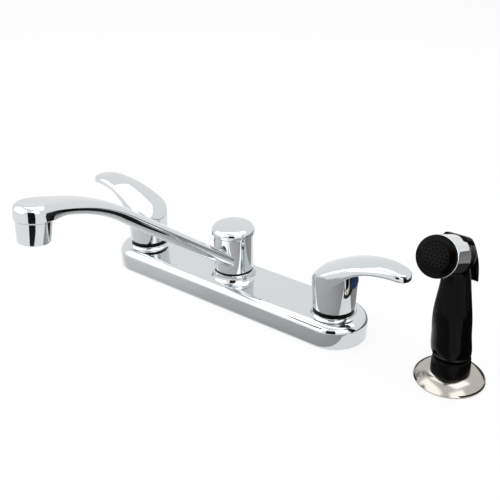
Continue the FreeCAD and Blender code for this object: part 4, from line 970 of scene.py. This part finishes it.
@dataclass
class Studio:
    """A pale floor, soft light, a white room, cards of painted shade and dark reflections that only
    mirrors see, and the camera.
    """

    focal_mm: float = 56.317
    azimuth: float = 37.96
    elevation: float = 27.75
    roll: float = -0.71
    place: Triple = (0.3759, -0.4591, 0.3544)
    floor_reach: float = 3000.0
    floor_glow: float = 0.8
    # The room's own light, from straight below to straight above, as (position, grey).
    room_light: Sequence[Pair] = ((0.0, 0.34), (0.12, 0.5), (0.35, 0.95), (0.6, 0.8), (1.0, 0.45))
    # Cards that only mirrors see, which paint shade and dark reflections in the chrome: name, grey
    # at the lowest and highest x, corners in millimetres.
    painted_reflection_cards: tuple = (
        # Painted shade seen only in reflections: the floor in front of the plate, darker towards
        # the sprayer.
        ("painted_floor_shade_front", (0.8, 0.28),
         ((-260, -120, 1), (215, -120, 1), (215, -27.6, 1), (-260, -27.6, 1))),
        # Painted shade seen only in reflections: a darker floor behind the faucet on the right.
        ("painted_floor_shade_back", (0.32, 0.12), ((40, 28, 1), (520, 28, 1), (520, 720, 1), (40, 720, 1))),
        # Painted dark reflections: black sheets that only mirrors see. They sit beside the sprayer,
        # lie and stand in front on the right, and hang above the plate's front.
        ("painted_dark_reflection_side", (0.02, 0.02),
         ((170, -20, 2), (340, -20, 2), (340, 150, 2), (170, 150, 2))),
        ("painted_dark_reflection_low", (0.01, 0.01),
         ((120, -491, 2), (192, -680, 2), (456, -450, 2), (278, -353, 2))),
        ("painted_dark_reflection_upright", (0.01, 0.01),
         ((192, -680, 2), (456, -450, 2), (456, -450, 480), (192, -680, 480))),
        ("painted_dark_reflection_beside", (0.01, 0.01),
         ((18, -120, 88), (90, -120, 88), (90, -82, 88), (18, -82, 88))),
    )
    # Lamps: name, place and target in metres, size in metres, power in watts.
    lamps: tuple = (
        ("key_softbox", (-0.7, -1.0, 0.85), (0.05, 0.0, 0.05), (1.9, 1.5), 11.0),
        ("fill_softbox", (1.2, -0.6, 0.9), (0.1, 0.0, 0.05), (1.0, 1.0), 4.0),
        ("top_softbox", (0.1, 0.35, 1.5), (0.05, 0.0, 0.0), (2.0, 1.2), 10.0),
    )

    def camera(self) -> None:
        """Put the camera where the photo's stood."""
        az, el, roll = (math.radians(v) for v in (self.azimuth, self.elevation, self.roll))
        back = np.array([math.sin(az) * math.cos(el), -math.cos(az) * math.cos(el), math.sin(el)])
        right = np.array([math.cos(az), math.sin(az), 0.0])
        up = np.cross(back, right)
        turned_right = right * math.cos(roll) + up * math.sin(roll)
        turned_up = up * math.cos(roll) - right * math.sin(roll)
        data = bpy.data.cameras.new("photo_camera")
        data.lens, data.sensor_width = self.focal_mm, 36.0
        camera = bpy.data.objects.new("photo_camera", data)
        camera.matrix_world = pose(turned_right, turned_up, back, self.place)
        bpy.context.scene.collection.objects.link(camera)
        bpy.context.scene.camera = camera

    def sheet(
        self, name: str, corners: Sequence[Triple], material: bpy.types.Material
    ) -> bpy.types.Object:
        """A flat card with a material, given by four corners in millimetres."""
        mesh = bpy.data.meshes.new(name)
        mesh.from_pydata([tuple(v * MILLIMETRE for v in c) for c in corners], [], [(0, 1, 2, 3)])
        mesh.materials.append(material)
        card = bpy.data.objects.new(name, mesh)
        bpy.context.scene.collection.objects.link(card)
        return card

    def painted_reflection_material(
        self, name: str, greys: Pair, corners: Sequence[Triple]
    ) -> bpy.types.Material:
        """A card's painted shade: a dull grey that changes evenly from the card's lowest x to its
        highest.
        """
        material, tree = fresh_tree(name)
        coords = add_node(tree, "TexCoord")
        parts = add_node(tree, "SeparateXYZ", {"Vector": coords.outputs["Object"]})
        low, high = (edge([c[0] for c in corners]) * MILLIMETRE for edge in (min, max))
        scale = {"From Min": low, "From Max": high, "To Min": greys[0], "To Max": greys[1]}
        grey = add_node(tree, "MapRange", {**scale, "Value": parts.outputs["X"]}).outputs["Result"]
        dull = {"Roughness": 0.9, "Specular IOR Level": 0.0, "Base Color": grey}
        shader = add_node(tree, "BsdfPrincipled", dull)
        add_node(tree, "OutputMaterial", {"Surface": shader.outputs["BSDF"]})
        return material

    def light(self, name: str, place: tuple, target: tuple, size: tuple, power: float) -> None:
        """A soft rectangular light at a place in metres, aimed at a target."""
        data = bpy.data.lights.new(name, "AREA")
        data.shape, data.size, data.size_y, data.energy = "RECTANGLE", size[0], size[1], power
        lamp = bpy.data.objects.new(name, data)
        back = np.array(place) - np.array(target)
        back = back / np.linalg.norm(back)
        right = np.cross([0.0, 0.0, 1.0], back)
        right = right / np.linalg.norm(right)
        lamp.matrix_world = pose(right, np.cross(back, right), back, place)
        bpy.context.scene.collection.objects.link(lamp)

    def world(self) -> None:
        """White to the camera, mirrors and glass, and a grey room for the light it gives."""
        world = bpy.data.worlds.new("studio")
        bpy.context.scene.world = world
        world.use_nodes = True
        tree = world.node_tree
        tree.nodes.clear()
        coords = add_node(tree, "TexCoord")
        parts = add_node(tree, "SeparateXYZ", {"Vector": coords.outputs["Generated"]})
        ramp = add_node(tree, "ValToRGB", {"Fac": parts.outputs["Z"]})
        ramp.color_ramp.interpolation = "EASE"
        while len(ramp.color_ramp.elements) < len(self.room_light):
            ramp.color_ramp.elements.new(0.5)
        for element, (place, grey) in zip(ramp.color_ramp.elements, self.room_light):
            element.position = place
            element.color = (grey, grey, grey * 1.01, 1.0)
        room = add_node(tree, "Background", {"Strength": 1.0, "Color": ramp.outputs["Color"]})
        white = add_node(tree, "Background", {"Strength": 1.0, "Color": (1.0, 1.0, 1.0, 1.0)})
        shaders = {1: room.outputs["Background"], 2: white.outputs["Background"]}
        mix = add_node(tree, "MixShader", {0: seen_directly(tree), **shaders})
        add_node(tree, "OutputWorld", {"Surface": mix.outputs["Shader"]})

    def floor_material(self) -> bpy.types.Material:
        """White where it is seen, apart from a share that is lit and so keeps the shadow."""
        material, tree = fresh_tree("pale floor")
        glowing = {0: seen_directly(tree), 1: self.floor_glow}
        share = add_node(tree, "Math", glowing, operation="MULTIPLY").outputs["Value"]
        paint = {"Base Color": (0.92, 0.92, 0.92, 1.0), "Roughness": 0.9, "Specular IOR Level": 0.0}
        lit = add_node(tree, "BsdfPrincipled", paint).outputs["BSDF"]
        white = {"Color": (1.0, 1.0, 1.0, 1.0), "Strength": 1.0}
        glow = add_node(tree, "Emission", white).outputs["Emission"]
        mix = add_node(tree, "MixShader", {0: share, 1: lit, 2: glow})
        add_node(tree, "OutputMaterial", {"Surface": mix.outputs["Shader"]})
        return material

    def build(self) -> None:
        """Set the view transform and make the floor, the cards of painted shade, the lamps and the
        camera.
        """
        bpy.context.scene.view_settings.view_transform = "Standard"
        self.world()
        far = self.floor_reach
        corners = ((-far, -far, 0), (far, -far, 0), (far, far, 0), (-far, far, 0))
        self.sheet("pale_floor", corners, self.floor_material())
        for name, greys, corners in self.painted_reflection_cards:
            card = self.sheet(name, corners, self.painted_reflection_material(name, greys, corners))
            # Painted shade and dark reflections: only mirrors see these cards, and they give no
            # light and cast no shadow.
            card.visible_camera = False
            card.visible_diffuse = False
            card.visible_shadow = False
        for name, place, target, size, power in self.lamps:
            self.light(name, place, target, size, power)
        self.camera()


def main() -> None:
    """Build the looks over the frame."""
    logging.basicConfig(level=logging.INFO, format="%(name)s: %(message)s")
    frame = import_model()
    dresser = Dresser(frame)
    HiddenParts().build(dresser)
    handles = (LeverHandle(1), LeverHandle(-1))
    for piece in (DeckPlate(), Spout(), *handles, SprayerHolder(), Sprayer()):
        piece.build(dresser)
    Studio().build()
    bpy.context.view_layer.update()


if __name__ == "__main__":
    main()
